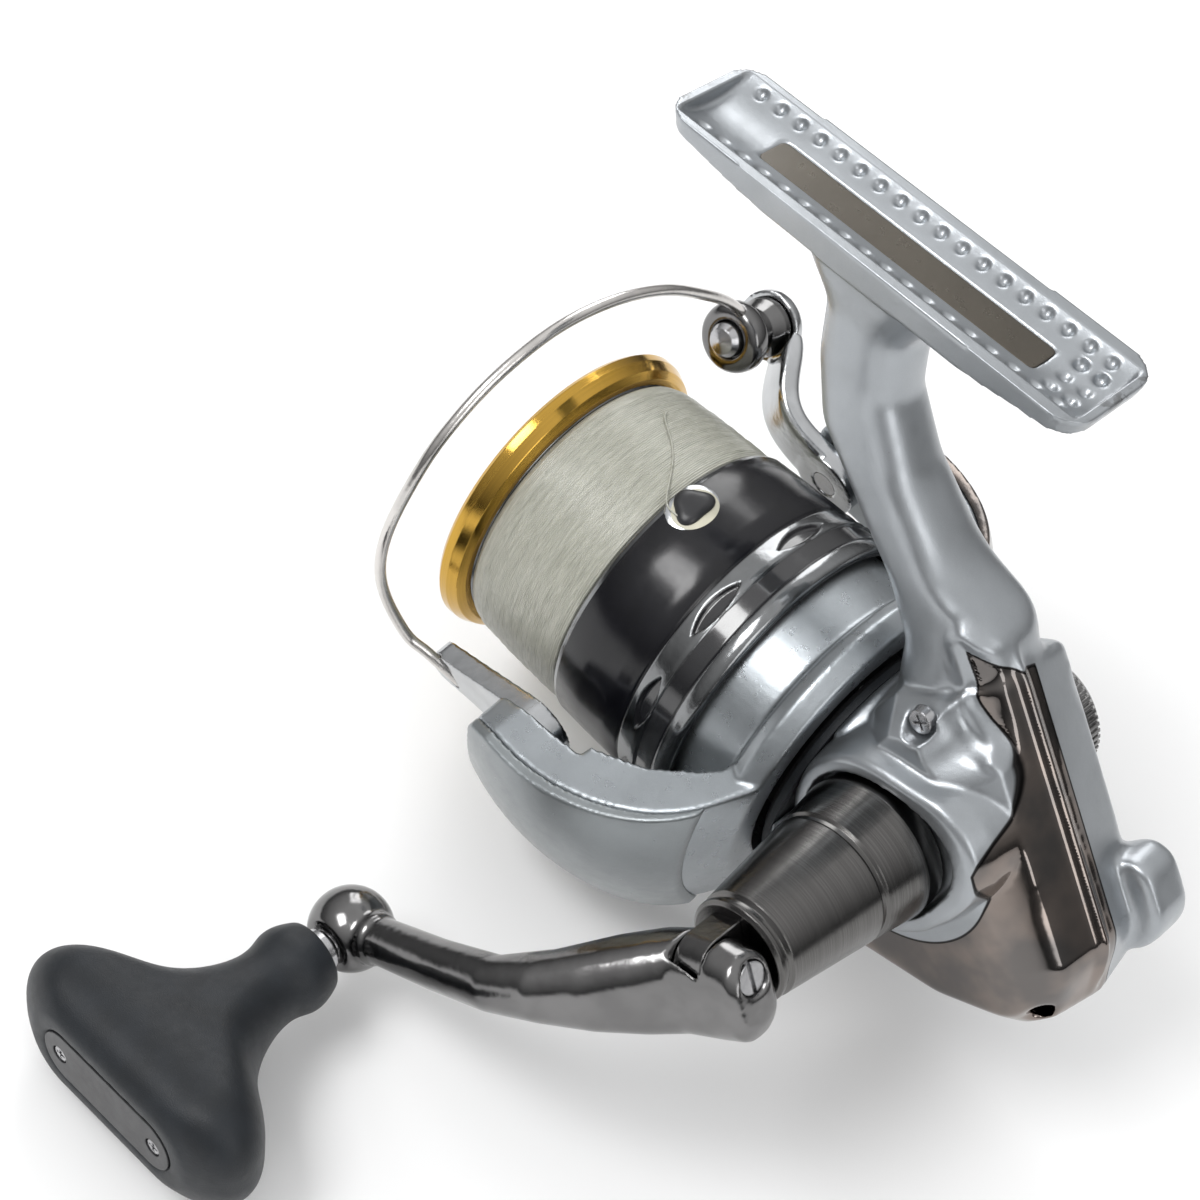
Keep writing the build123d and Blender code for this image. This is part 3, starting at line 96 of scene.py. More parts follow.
# ---------------------------------------------------------------- materials
class Graph:
    """A small helper that wires shader nodes."""

    def __init__(self, name):
        self.material = bpy.data.materials.new(name)
        self.material.use_nodes = True
        self.tree = self.material.node_tree
        self.tree.nodes.clear()
        self.out = self.tree.nodes.new("ShaderNodeOutputMaterial")
        self.shader = self.tree.nodes.new("ShaderNodeBsdfPrincipled")
        self.tree.links.new(self.shader.outputs[0], self.out.inputs[0])
        self.coords = self.tree.nodes.new("ShaderNodeTexCoord").outputs["Object"]
        self.mm = self.vector("SCALE", self.coords, scale=1000.0)

    def node(self, kind, **inputs):
        made = self.tree.nodes.new(kind)
        for key, value in inputs.items():
            self.put(made.inputs[key.replace("_", " ")], value)
        return made

    def put(self, socket, value):
        if hasattr(value, "is_output"):
            self.tree.links.new(value, socket)
        else:
            socket.default_value = value

    def vector(self, operation, a, b=None, scale=None):
        made = self.tree.nodes.new("ShaderNodeVectorMath")
        made.operation = operation
        self.put(made.inputs[0], a)
        if b is not None:
            self.put(made.inputs[1], b)
        if scale is not None:
            self.put(made.inputs["Scale"], scale)
        return made.outputs["Value"] if operation in ("LENGTH", "DOT_PRODUCT") else made.outputs["Vector"]

    def math(self, operation, a, b=0.0, clamp=False):
        made = self.tree.nodes.new("ShaderNodeMath")
        made.operation = operation
        made.use_clamp = clamp
        self.put(made.inputs[0], a)
        self.put(made.inputs[1], b)
        return made.outputs[0]

    def noise(self, vector, scale, detail=3.0, rough=0.5, distortion=0.0):
        made = self.tree.nodes.new("ShaderNodeTexNoise")
        for key, value in (("Vector", vector), ("Scale", scale), ("Detail", detail), ("Roughness", rough),
                           ("Distortion", distortion)):
            self.put(made.inputs[key], value)
        return made.outputs[0]

    def step(self, value, low, high):
        """0 below low, 1 above high, smooth between."""
        made = self.tree.nodes.new("ShaderNodeMapRange")
        made.interpolation_type = "SMOOTHSTEP"
        self.put(made.inputs["Value"], value)
        self.put(made.inputs["From Min"], low)
        self.put(made.inputs["From Max"], high)
        return made.outputs[0]

    def mix(self, factor, a, b):
        made = self.tree.nodes.new("ShaderNodeMix")
        made.data_type = "RGBA"
        self.put(made.inputs["Factor"], factor)
        self.put(made.inputs[6], a)
        self.put(made.inputs[7], b)
        return made.outputs[2]

    def blend(self, factor, a, b):
        made = self.tree.nodes.new("ShaderNodeMix")
        made.data_type = "FLOAT"
        self.put(made.inputs["Factor"], factor)
        self.put(made.inputs[2], a)
        self.put(made.inputs[3], b)
        return made.outputs[0]

    def bevel(self, radius_mm):
        made = self.tree.nodes.new("ShaderNodeBevel")
        made.samples = 4
        made.inputs["Radius"].default_value = radius_mm * MM
        return made.outputs[0]

    def bump(self, height, distance_mm, normal=None):
        made = self.tree.nodes.new("ShaderNodeBump")
        made.inputs["Strength"].default_value = 1.0
        made.inputs["Distance"].default_value = distance_mm * MM
        self.put(made.inputs["Height"], height)
        if normal is not None:
            self.put(made.inputs["Normal"], normal)
        return made.outputs[0]

    def edges(self, radius_mm):
        """1 near an edge, 0 on open faces."""
        normal = self.tree.nodes.new("ShaderNodeNewGeometry").outputs["Normal"]
        same = self.vector("DOT_PRODUCT", self.bevel(radius_mm), normal)
        return self.step(self.math("SUBTRACT", 1.0, same), 0.02, 0.25)

    def around(self, axis, middle):
        """The place along an axis through middle, and the distance from that axis, in mm."""
        moved = self.vector("SUBTRACT", self.mm, tuple(middle * 1000))
        flat = self.vector("MULTIPLY", moved, tuple(0.0 if abs(v) > 0.5 else 1.0 for v in axis))
        along = self.vector("DOT_PRODUCT", moved, tuple(axis))
        joined = self.tree.nodes.new("ShaderNodeCombineXYZ")
        self.put(joined.inputs[0], along)
        self.put(joined.inputs[1], self.vector("LENGTH", flat))
        return joined.outputs[0]

    def set(self, **values):
        for key, value in values.items():
            self.put(self.shader.inputs[key.replace("_", " ")], value)


def rgb(r, g, b):
    return (r, g, b, 1.0)


def shade(colour, k):
    return (min(colour[0] * k, 1), min(colour[1] * k, 1), min(colour[2] * k, 1), 1.0)


def metal_paint(name, colour, rough=0.34, metallic=0.85, flake=0.5, wear=0.5, bevel=0.35,
                wear_colour=(0.06, 0.055, 0.05, 1)):
    """Metallic paint on a casting: fine flakes, orange peel, dark chips at the edges and faint scratches."""
    g = Graph(name)
    broad = g.noise(g.mm, 0.09, 3)
    fine = g.noise(g.mm, 9.0, 2)
    sparkle = g.noise(g.mm, 22.0, 1)
    tone = g.mix(g.step(broad, 0.3, 0.7), shade(colour, 0.9), shade(colour, 1.06))
    tone = g.mix(g.math("MULTIPLY", g.step(sparkle, 0.55, 0.72), flake), tone, shade(colour, 1.45))
    edge = g.edges(0.55)
    chips = g.math("MULTIPLY", g.step(edge, 0.3, 0.9), g.step(g.noise(g.mm, 0.75, 5, 0.65), 0.55, 0.6))
    chips = g.math("MULTIPLY", chips, wear, True)
    scratch_space = g.vector("MULTIPLY", g.mm, (0.25, 1.6, 0.9))
    scratch = g.step(g.noise(scratch_space, 2.2, 6, 0.75, 0.6), 0.68, 0.74)
    tone = g.mix(g.math("MULTIPLY", scratch, 0.35 * wear), tone, shade(colour, 0.55))
    tone = g.mix(chips, tone, wear_colour)
    uneven = g.math("MULTIPLY_ADD", g.noise(g.mm, 0.5, 4), 0.22)
    uneven.node.inputs[2].default_value = rough - 0.11
    roughness = g.blend(chips, uneven, 0.6)
    height = g.math("ADD", g.math("MULTIPLY", fine, 0.6), g.math("MULTIPLY", g.noise(g.mm, 1.4, 2), 0.5))
    height = g.math("SUBTRACT", height, g.math("MULTIPLY", chips, 1.5))
    g.set(Base_Color=tone, Metallic=g.blend(chips, metallic, 0.3), Roughness=roughness,
          Normal=g.bump(height, 0.035, g.bevel(bevel)), Coat_Weight=0.25, Coat_Roughness=0.12)
    return g.material


def plated(name, colour, rough=0.12, bevel=0.3, wear=0.3, haze=0.12, warm=None):
    """Dark bright plating: mirror-like with soft haze, pits and rubbed edges."""
    g = Graph(name)
    broad = g.noise(g.mm, 0.16, 3)
    tone = g.mix(g.step(broad, 0.35, 0.65), colour, warm or shade(colour, 1.2))
    edge = g.edges(0.4)
    rub = g.math("MULTIPLY", g.step(edge, 0.25, 0.9), g.step(g.noise(g.mm, 1.1, 4), 0.45, 0.62))
    tone = g.mix(g.math("MULTIPLY", rub, wear), tone, rgb(0.72, 0.7, 0.68))
    smear = g.math("MULTIPLY", g.noise(g.mm, 0.35, 5, 0.6), haze)
    roughness = g.math("ADD", smear, rough)
    height = g.math("ADD", g.noise(g.mm, 0.45, 2), g.math("MULTIPLY", g.noise(g.mm, 12, 2), 0.06))
    g.set(Base_Color=tone, Metallic=1.0, Roughness=roughness, Normal=g.bump(height, 0.05, g.bevel(bevel)))
    return g.material


def turned(name, colour, axis, middle, rough=0.2, streak=0.5, scale=5.0, bevel=0.2):
    """Metal turned on a lathe: streaks run round the axis."""
    g = Graph(name)
    space = g.around(axis, middle)
    lines = g.noise(space, scale, 5, 0.7)
    streaks = g.math("MULTIPLY", g.step(lines, 0.35, 0.65), streak)
    tone = g.mix(streaks, shade(colour, 0.8), shade(colour, 1.25))
    spots = g.noise(g.mm, 0.6, 4)
    roughness = g.math("ADD", rough - 0.06, g.math("MULTIPLY", spots, 0.14))
    g.set(Base_Color=tone, Metallic=1.0, Roughness=roughness, Anisotropic=0.4,
          Normal=g.bump(lines, 0.012, g.bevel(bevel)))
    return g.material


def moulded(name, colour, rough=0.5, grain=6.0, depth=0.03, bevel=0.25, sheen=0.0, coat=0.0, dust=0.15,
            gloss=0.5):
    """Moulded plastic or rubber with a fine grain, uneven gloss and a little dust in the edges."""
    g = Graph(name)
    broad = g.noise(g.mm, 0.22, 4)
    tone = g.mix(g.step(broad, 0.3, 0.7), shade(colour, 0.82), shade(colour, 1.2))
    edge = g.edges(0.6)
    rubbed = g.math("MULTIPLY", edge, g.step(g.noise(g.mm, 0.9, 4), 0.45, 0.7))
    tone = g.mix(g.math("MULTIPLY", rubbed, dust), tone, shade(colour, 2.6))
    roughness = g.math("ADD", rough - 0.1, g.math("MULTIPLY", g.noise(g.mm, 0.7, 5, 0.6), 0.2))
    height = g.noise(g.mm, grain, 3, 0.6)
    g.set(Base_Color=tone, Metallic=0.0, Roughness=roughness, Sheen_Weight=sheen, Coat_Weight=coat,
          Specular_IOR_Level=gloss, Coat_Roughness=0.08, Normal=g.bump(height, depth, g.bevel(bevel)))
    return g.material


X_AXIS = Vector((1, 0, 0))
Y_AXIS = Vector((0, 1, 0))


def case_material():
    """Silver paint on the gear case, and the mirror-bright guard where the guard attribute is above 0."""
    g = Graph("case_finish")
    colour = rgb(0.36, 0.38, 0.40)
    side = g.tree.nodes.new("ShaderNodeAttribute")
    side.attribute_name = "guard"
    past = side.outputs["Fac"]
    guard = g.step(past, -0.06, 0.06)
    seam = g.math("SUBTRACT", 1.0, g.step(g.math("ABSOLUTE", past), 0.08, 0.24))
    broad = g.noise(g.mm, 0.09, 3)
    fine = g.noise(g.mm, 9.0, 2)
    tone = g.mix(g.step(broad, 0.3, 0.7), shade(colour, 0.92), shade(colour, 1.06))
    sparkle = g.step(g.noise(g.mm, 22.0, 1), 0.55, 0.72)
    tone = g.mix(g.math("MULTIPLY", sparkle, 0.5), tone, shade(colour, 1.4))
    chip_shapes = g.step(g.noise(g.mm, 0.8, 5, 0.65), 0.72, 0.76)
    spots = g.math("MULTIPLY", chip_shapes, g.step(g.noise(g.mm, 0.12, 2), 0.5, 0.6))
    tone = g.mix(g.math("MULTIPLY", spots, 0.8), tone, rgb(0.07, 0.065, 0.06))
    split = g.node("ShaderNodeSeparateXYZ", Vector=g.mm)
    waver = g.math("MULTIPLY", g.noise(g.mm, 0.3, 4), 6.0)
    far_out = g.math("ADD", g.math("ABSOLUTE", split.outputs["X"]), waver)
    ends = g.math("MULTIPLY", g.step(far_out, 33.0, 36.5), g.step(split.outputs["Z"], -9.0, -6.0))
    rubbed = g.math("MULTIPLY", ends, g.step(g.noise(g.mm, 0.42, 6, 0.7), 0.47, 0.53))
    tone = g.mix(g.math("MULTIPLY", rubbed, 0.85), tone, rgb(0.085, 0.08, 0.075))
    warmth = g.step(g.noise(g.mm, 0.12, 3), 0.35, 0.65)
    mirror = g.mix(warmth, rgb(0.15, 0.14, 0.135), rgb(0.24, 0.205, 0.185))
    tone = g.mix(guard, tone, mirror)
    tone = g.mix(seam, tone, rgb(0.015, 0.014, 0.014))
    paint_rough = g.math("ADD", 0.24, g.math("MULTIPLY", g.noise(g.mm, 0.5, 4), 0.2))
    guard_rough = g.math("ADD", 0.045, g.math("MULTIPLY", g.noise(g.mm, 0.35, 5, 0.6), 0.1))
    height = g.math("ADD", g.math("MULTIPLY", fine, 0.6), g.math("MULTIPLY", g.noise(g.mm, 1.4, 2), 0.5))
    height = g.math("MULTIPLY", height, g.math("SUBTRACT", 1.0, guard))
    g.set(Base_Color=tone, Metallic=g.blend(guard, 0.85, 1.0),
          Roughness=g.blend(guard, paint_rough, guard_rough), Coat_Weight=g.blend(guard, 0.25, 0.0),
          Coat_Roughness=0.12, Normal=g.bump(height, 0.03))
    return g.material


case_finish = case_material()
silver = metal_paint("silver_paint", rgb(0.36, 0.38, 0.40))
silver_rotor = metal_paint("rotor_paint", rgb(0.34, 0.365, 0.385), rough=0.3, wear=0.7)
cover_grey = metal_paint("cover_paint", rgb(0.26, 0.28, 0.29), rough=0.32, wear=0.35)
gunmetal = plated("gunmetal", rgb(0.13, 0.12, 0.115), rough=0.07, warm=rgb(0.18, 0.155, 0.14))
dark_chrome = plated("dark_chrome", rgb(0.17, 0.168, 0.168), rough=0.1)
bright_chrome = plated("bright_chrome", rgb(0.45, 0.46, 0.47), rough=0.1, wear=0.1)
collar_metal = turned("collar_metal", rgb(0.13, 0.127, 0.124), Y_AXIS, crank, rough=0.17, streak=0.8,
                      scale=6.0)
steel = turned("steel", rgb(0.55, 0.55, 0.56), X_AXIS, shaft, rough=0.2)
wire_steel = plated("wire_steel", rgb(0.58, 0.56, 0.54), rough=0.12, wear=0.2)
screw_metal = plated("screw_metal", rgb(0.42, 0.42, 0.43), rough=0.18)
brass = turned("brass", rgb(0.72, 0.5, 0.2), X_AXIS, shaft, rough=0.22)
skirt_chrome = plated("skirt_chrome", rgb(0.21, 0.215, 0.22), rough=0.09, wear=0.15)
gold = turned("gold", rgb(0.62, 0.37, 0.07), X_AXIS, shaft, rough=0.09, streak=0.35, scale=9.0)
gear_alloy = turned("gear_alloy", rgb(0.5, 0.5, 0.47), Y_AXIS, crank, rough=0.3)
rubber = moulded("rubber", rgb(0.010, 0.0125, 0.016), rough=0.48, grain=5.0, depth=0.04, sheen=0.03,
                 dust=0.1, gloss=0.35)
black_plastic = moulded("black_plastic", rgb(0.02, 0.02, 0.022), rough=0.35, grain=9.0, depth=0.01)
felt = moulded("felt", rgb(0.12, 0.1, 0.08), rough=0.9, grain=3.0, depth=0.15)
plate_paint = metal_paint("plate_paint", rgb(0.075, 0.065, 0.05), rough=0.3, metallic=0.6, flake=0.3,
                          wear=0.2)
drag_silver = metal_paint("drag_silver", rgb(0.5, 0.56, 0.6), rough=0.25, wear=0.1)
gloss_black = moulded("gloss_black", rgb(0.004, 0.004, 0.006), rough=0.2, grain=14.0, depth=0.004, coat=0.1,
                      dust=0.05, gloss=0.4)
cream = moulded("cream", rgb(0.55, 0.53, 0.42), rough=0.4, grain=8.0, depth=0.02)

LOOKS = {
    silver: ["gear_frame", "side_cover"],
    silver_rotor: ["rotor"],
    cover_grey: ["left_arm_cover"],
    gunmetal: ["rear_guard", "right_arm_cover"],
    dark_chrome: ["side_cap", "handle_arm", "hinge_tongue", "line_roller"],
    bright_chrome: ["bail_lever", "roller_lever", "spool_hub"],
    collar_metal: ["handle_collar"],
    steel: ["drive_bearings", "pinion_bearing", "guide_shaft", "clutch_rollers", "knob_shaft",
            "knob_bearings", "clutch_sleeve", "bail_spring", "spring_rod", "worm_shaft", "main_shaft",
            "spool_bearing", "drag_plates", "drag_clip", "click_pawl", "gear_shims"],
    wire_steel: ["bail_wire"],
    screw_metal: ["cover_screw", "guard_screw", "clutch_screws", "fold_screw", "shaft_screw", "knob_screws",
                  "lever_screws", "roller_screw", "rotor_nut"],
    brass: ["pinion", "shaft_bushes", "pawl", "knob_nut", "roller_bush"],
    gear_alloy: ["drive_gear", "worm_gear", "slider"],
    plate_paint: ["foot_plate"],
    black_plastic: ["clutch_case", "reverse_switch", "line_clip", "knob_plate"],
    rubber: ["brake_ring", "knob"],
    felt: ["drag_felts"],
    gold: ["spool_lip"],
    gloss_black: ["spool"],
    cream: ["line_pack"],
    drag_silver: ["drag_knob"],
}
for look, names in LOOKS.items():
    for name in names:
        if name in nodes:
            nodes[name].data.materials.clear()
            nodes[name].data.materials.append(look)


# ---------------------------------------------------------------- mesh tools
def new_object(name, mesh, *materials):
    made = bpy.data.objects.new(name, mesh)
    bpy.context.scene.collection.objects.link(made)
    for look in materials:
        mesh.materials.append(look)
    return made


def from_bmesh(name, bm, *materials):
    """A smooth-shaded object, made from a bmesh that is then freed."""
    mesh = bpy.data.meshes.new(name)
    bm.to_mesh(mesh)
    bm.free()
    mesh.polygons.foreach_set("use_smooth", [True] * len(mesh.polygons))
    return new_object(name, mesh, *materials)


def applied(obj):
    """Turns an object's modifiers into plain mesh."""
    graph = bpy.context.evaluated_depsgraph_get()
    mesh = bpy.data.meshes.new_from_object(obj.evaluated_get(graph))
    old = obj.data
    obj.modifiers.clear()
    obj.data = mesh
    bpy.data.meshes.remove(old)
    return obj


def voxelled(obj, size_mm):
    """Rebuilds an object's surface from voxels, so that parts that overlap become one skin."""
    remesh = obj.modifiers.new("voxels", "REMESH")
    remesh.mode = "VOXEL"
    remesh.voxel_size = size_mm * MM
    return applied(obj)


def look_smooth(mesh, look):
    """Shades a mesh smooth, in one look."""
    mesh.polygons.foreach_set("use_smooth", [True] * len(mesh.polygons))
    mesh.materials.clear()
    mesh.materials.append(look)


KEPT_FACES = 0.5  # share of a casting's faces that its decimation keeps


def cast_copy(name, node, body, look, voxel, smooth, softness=None):
    """A casting built from a CAD node, with its edges rounded like a real casting's.

    voxel is in mm, smooth counts the passes, and softness(place) gives a place's share of them, 0 to 1."""
    bm = bmesh.new()
    bm.from_mesh(nodes[node].data)
    bmesh.ops.remove_doubles(bm, verts=bm.verts, dist=WELD)
    made = voxelled(from_bmesh(name, bm), voxel)
    if softness is not None:
        group = made.vertex_groups.new(name="soft")
        for vertex in made.data.vertices:
            place = (vertex.co - ORIGIN) / MM
            group.add([vertex.index], softness(place), "REPLACE")
    soften = made.modifiers.new("soften", "SMOOTH")
    soften.factor = 0.5
    soften.iterations = smooth
    if softness is not None:
        soften.vertex_group = "soft"
    fewer = made.modifiers.new("fewer", "DECIMATE")
    fewer.ratio = KEPT_FACES
    applied(made)
    look_smooth(made.data, look)
    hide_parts(node)
    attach(made, body)


def revolved(name, rows, segments, looks, body, pick=None, push=None):
    """Turns rows of (x, radius, look index) round the spool axis.

    push(x, angle, radius) gives how far to lower a place, and pick(x, angle, index) may change its look."""
    bm = bmesh.new()
    rings = []
    for x, radius, _ in rows:
        ring = []
        for index in range(segments):
            angle = 2 * math.pi * index / segments
            r = radius - (push(x, angle, radius) if push else 0.0)
            ring.append(bm.verts.new(at(x, r * math.cos(angle), r * math.sin(angle))))
        rings.append(ring)
    for row in range(len(rows) - 1):
        for index in range(segments):
            after = (index + 1) % segments
            corners = (rings[row][index], rings[row][after], rings[row + 1][after], rings[row + 1][index])
            face = bm.faces.new(corners)
            middle_x = (rows[row][0] + rows[row + 1][0]) / 2
            angle = 2 * math.pi * (index + 0.5) / segments
            face.material_index = pick(middle_x, angle, rows[row][2]) if pick else rows[row][2]
    bmesh.ops.recalc_face_normals(bm, faces=bm.faces)
    made = from_bmesh(name, bm, *looks)
    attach(made, body)
    return made


def tube(name, points, radius_mm, look, body, resolution=6):
    """A round wire through points, built as mesh from a curve."""
    curve = bpy.data.curves.new(name, "CURVE")
    curve.dimensions = "3D"
    curve.resolution_u = 12
    curve.bevel_depth = radius_mm * MM
    curve.bevel_resolution = resolution
    curve.use_fill_caps = True
    spline = curve.splines.new("NURBS")
    spline.points.add(len(points) - 1)
    for point, place in zip(spline.points, points):
        point.co = (*place, 1.0)
    spline.use_endpoint_u = True
    spline.order_u = 4
    made = bpy.data.objects.new(name, curve)
    bpy.context.scene.collection.objects.link(made)
    graph = bpy.context.evaluated_depsgraph_get()
    mesh = bpy.data.meshes.new_from_object(made.evaluated_get(graph))
    bpy.data.objects.remove(made)
    mesh.materials.clear()
    mesh.polygons.foreach_set("use_smooth", [True] * len(mesh.polygons))
    made = new_object(name, mesh, look)
    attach(made, body)
    return made


# ---------------------------------------------------------------- gear case
# Places on the case's side are (x, z).
GUARD_BORDER = ((-1.0, 36.0), (-4.1, 31.8), (-7.1, 29.4), (-11.7, 27.2), (-15.2, 23.4), (-17.4, 19.2),
                (-17.9, 14.0), (-15.6, 7.0), (-11.5, 0.2), (-7.0, -5.6), (0.0, -10.4), (12.0, -13.0))
REAR_TOP, REAR_TAIL = np.array((-3.5, 31.5)), np.array((-35.6, -4.2))  # ends of the CAD's straight rear edge
CRANK_XZ, COVER_SCREW_XZ = (-4.6, 7.0), (-1.5, 25.5)
RING_RADIUS = 16.0  # the painted ring round the crank
CASE_VOXEL = 0.33
SWELL = 4.4  # how far the rear bulges past the CAD's edge
RIDGE, RIDGE_Y, RIDGE_HALF = 0.9, 1.6, 0.75  # height, place and half width of the ridge down the rear
BEAD, BEAD_BACK, BEAD_HALF = 0.42, 1.5, 0.75  # the raised bead that runs along the guard's border
HOLLOW, HOLLOW_BACK, HOLLOW_HALF = 0.16, 3.4, 0.9  # the shallow dip behind the bead
GROOVE, GROOVE_HALF = 0.2, 0.22  # the gap between paint and guard


def smooth_path(points, count):
    """Points along a smooth curve through the given ones, count to each stretch."""
    points = np.array(points, float)
    ends = np.vstack([2 * points[0] - points[1], points, 2 * points[-1] - points[-2]])
    made = []
    for k in range(len(points) - 1):
        a, b, c, d = ends[k:k + 4]
        for t in np.arange(count) / count:
            square = (2 * a - 5 * b + 4 * c - d) * t**2
            cube = (3 * b - a - 3 * c + d) * t**3
            made.append(0.5 * (2 * b + (c - a) * t + square + cube))
    return np.array(made + [points[-1]])


def border_distance(xz):
    """Signed distance in mm from the guard's border, positive on the guard."""
    way = smooth_path(GUARD_BORDER, 6)
    best = np.full(len(xz), 1e9)
    sign = np.ones(len(xz))
    for a, b in zip(way, way[1:]):
        run = b - a
        along = np.clip(((xz - a) @ run) / (run @ run), 0, 1)
        gap = xz - (a + along[:, None] * run)
        far = np.hypot(gap[:, 0], gap[:, 1])
        closer = far < best
        best = np.where(closer, far, best)
        sign = np.where(closer, np.sign(run[0] * gap[:, 1] - run[1] * gap[:, 0]), sign)
    return -best * sign


def ease(value, low, high):
    """0 at low, 1 at high, smooth between."""
    t = np.clip((value - low) / (high - low), 0, 1)
    return t * t * (3 - 2 * t)


def hump(value, middle, half):
    """1 at middle, and close to 0 from twice half away."""
    return np.exp(-((value - middle) / half) ** 2)


def far_from(spot, xz):
    """Distance of each place from an axis along Y through xz."""
    return np.hypot(spot[:, 0] - xz[0], spot[:, 2] - xz[1])


def places(mesh):
    """A mesh's vertices in mm from the gearbox centre."""
    co = np.empty(len(mesh.vertices) * 3)
    mesh.vertices.foreach_get("co", co)
    return (co.reshape(-1, 3) - np.array(ORIGIN)) / MM


def put_places(mesh, places_mm):
    mesh.vertices.foreach_set("co", (places_mm * MM + np.array(ORIGIN)).ravel())
    mesh.update()


def relax(obj, weights, iterations):
    """Smooths a mesh, each vertex as much as its weight from 0 to 1."""
    group = obj.vertex_groups.new(name="relax")
    rounded = np.round(np.clip(weights, 0, 1) * 4) / 4
    for level in (0.25, 0.5, 0.75, 1.0):
        group.add([int(v) for v in np.nonzero(rounded == level)[0]], level, "REPLACE")
    soften = obj.modifiers.new("relax", "SMOOTH")
    soften.factor = 0.5
    soften.iterations = iterations
    soften.vertex_group = "relax"
    applied(obj)
    obj.vertex_groups.clear()


def joined_case():
    """Gear frame, side cover and rear guard as one skin."""
    bm = bmesh.new()
    for part in ("gear_frame", "side_cover", "rear_guard"):
        bm.from_mesh(nodes[part].data)
    bmesh.ops.remove_doubles(bm, verts=bm.verts, dist=WELD)
    return voxelled(from_bmesh("gear_case", bm), CASE_VOXEL)


def soften_case(case, spot, crank_far):
    """Melts the flanks into the stem; the ring, the cover screw, the flange and the foot stay crisp."""
    ring_edge = ease(crank_far, 15.6, 18.5)
    flange = ease(spot[:, 0], 1.0, 4.0) * (1 - ease(spot[:, 2], 24.0, 28.0))
    foot = ease(spot[:, 2], 66.5, 70.0)
    stem = ease(spot[:, 2], 26.0, 33.0) * (1 - foot)
    screw_edge = ease(far_from(spot, COVER_SCREW_XZ), 4.0, 6.5)
    calm = np.minimum(ring_edge, screw_edge) * (1 - flange) * (1 - foot)
    relax(case, np.maximum(calm, stem), 90)
    relax(case, np.where(foot > 0.5, 0.0, 1.0), 5)


def swell_rear(case):
    """Swells the case past the CAD's straight rear edge, and raises a sharp ridge down it."""
    spot = places(case.data)
    run = REAR_TAIL - REAR_TOP
    length = np.hypot(*run)
    run = run / length
    outward = np.array((run[1], -run[0]))
    flat = spot[:, (0, 2)] - REAR_TOP
    depth = -(flat @ outward)
    along = (flat @ run) / length
    swell = SWELL * ease(depth, 10.0, 0.5) * ease(along, -0.45, -0.05) * ease(along, 1.02, 0.8)
    screw_far = far_from(spot, COVER_SCREW_XZ)
    swell = swell * (1 - ease(spot[:, 1], 4.0, 8.0) * (1 - ease(screw_far, 3.8, 9.0)))
    swell = swell * (1 - ease(spot[:, 2], 34.0, 44.0))
    ridge = RIDGE * hump(spot[:, 1], RIDGE_Y, RIDGE_HALF) * ease(depth, 6.0, 1.0)
    ridge = ridge * ease(along, -0.1, 0.05) * ease(along, 1.0, 0.9)
    move = (swell + ridge)[:, None] * outward
    spot[:, 0] += move[:, 0]
    spot[:, 2] += move[:, 1]
    put_places(case.data, spot)
    return spot


def guard_cover(spot):
    """How far inside the guard each place is, in mm; below 0 on the paint."""
    past = border_distance(spot[:, (0, 2)])
    past = np.minimum(past, spot[:, 1] + 1.2)
    past = np.minimum(past, far_from(spot, CRANK_XZ) - RING_RADIUS)
    return np.minimum(past, 34.0 - spot[:, 2] + 0.25 * spot[:, 1])


def raise_border(case, spot, past, crank_far):
    """Raises the bead along the guard's border, with the dip and the groove beside it."""
    rim = hump(past, -BEAD_BACK, BEAD_HALF) * BEAD
    rim = rim - hump(past, -HOLLOW_BACK, HOLLOW_HALF) * HOLLOW - hump(past, 0, GROOVE_HALF) * GROOVE
    rim = rim * ease(spot[:, 1], 3.0, 6.0) * ease(crank_far, 15.8, 17.0)
    normals = np.empty(len(spot) * 3)
    case.data.vertices.foreach_get("normal", normals)
    put_places(case.data, spot + normals.reshape(-1, 3) * rim[:, None])


case = joined_case()
raw_spot = places(case.data)
crank_far = far_from(raw_spot, CRANK_XZ)  # taken before the smoothing, so the ring stays round
soften_case(case, raw_spot, crank_far)
spot = swell_rear(case)
past = guard_cover(spot)
raise_border(case, spot, past, crank_far)
attribute = case.data.attributes.new("guard", "FLOAT", "POINT")
attribute.data.foreach_set("value", past)
look_smooth(case.data, case_finish)
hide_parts("gear_frame", "side_cover", "rear_guard")
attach(case, "frame")


# ---------------------------------------------------------------- castings
ROTOR_CUP = 21.6  # inside this radius the rotor keeps crisper edges


def rotor_softness(place):
    """How soft the rotor's casting is at a place."""
    return 0.35 if math.hypot(place.y, place.z) < ROTOR_CUP else 1.0


cast_copy("rotor_casting", "rotor", "rotor", silver_rotor, voxel=0.34, smooth=8, softness=rotor_softness)
cast_copy("left_arm_shell", "left_arm_cover", "rotor", cover_grey, voxel=0.25, smooth=4)
cast_copy("right_arm_shell", "right_arm_cover", "rotor", gunmetal, voxel=0.25, smooth=4)
cast_copy("handle_casting", "handle_arm", "handle", dark_chrome, voxel=0.28, smooth=14)
cast_copy("knob_grip", "knob", "grip", rubber, voxel=0.4, smooth=10)
cast_copy("roller_arm", "roller_lever", "bail", bright_chrome, voxel=0.22, smooth=6)
cast_copy("wire_arm", "bail_lever", "bail", bright_chrome, voxel=0.22, smooth=4)


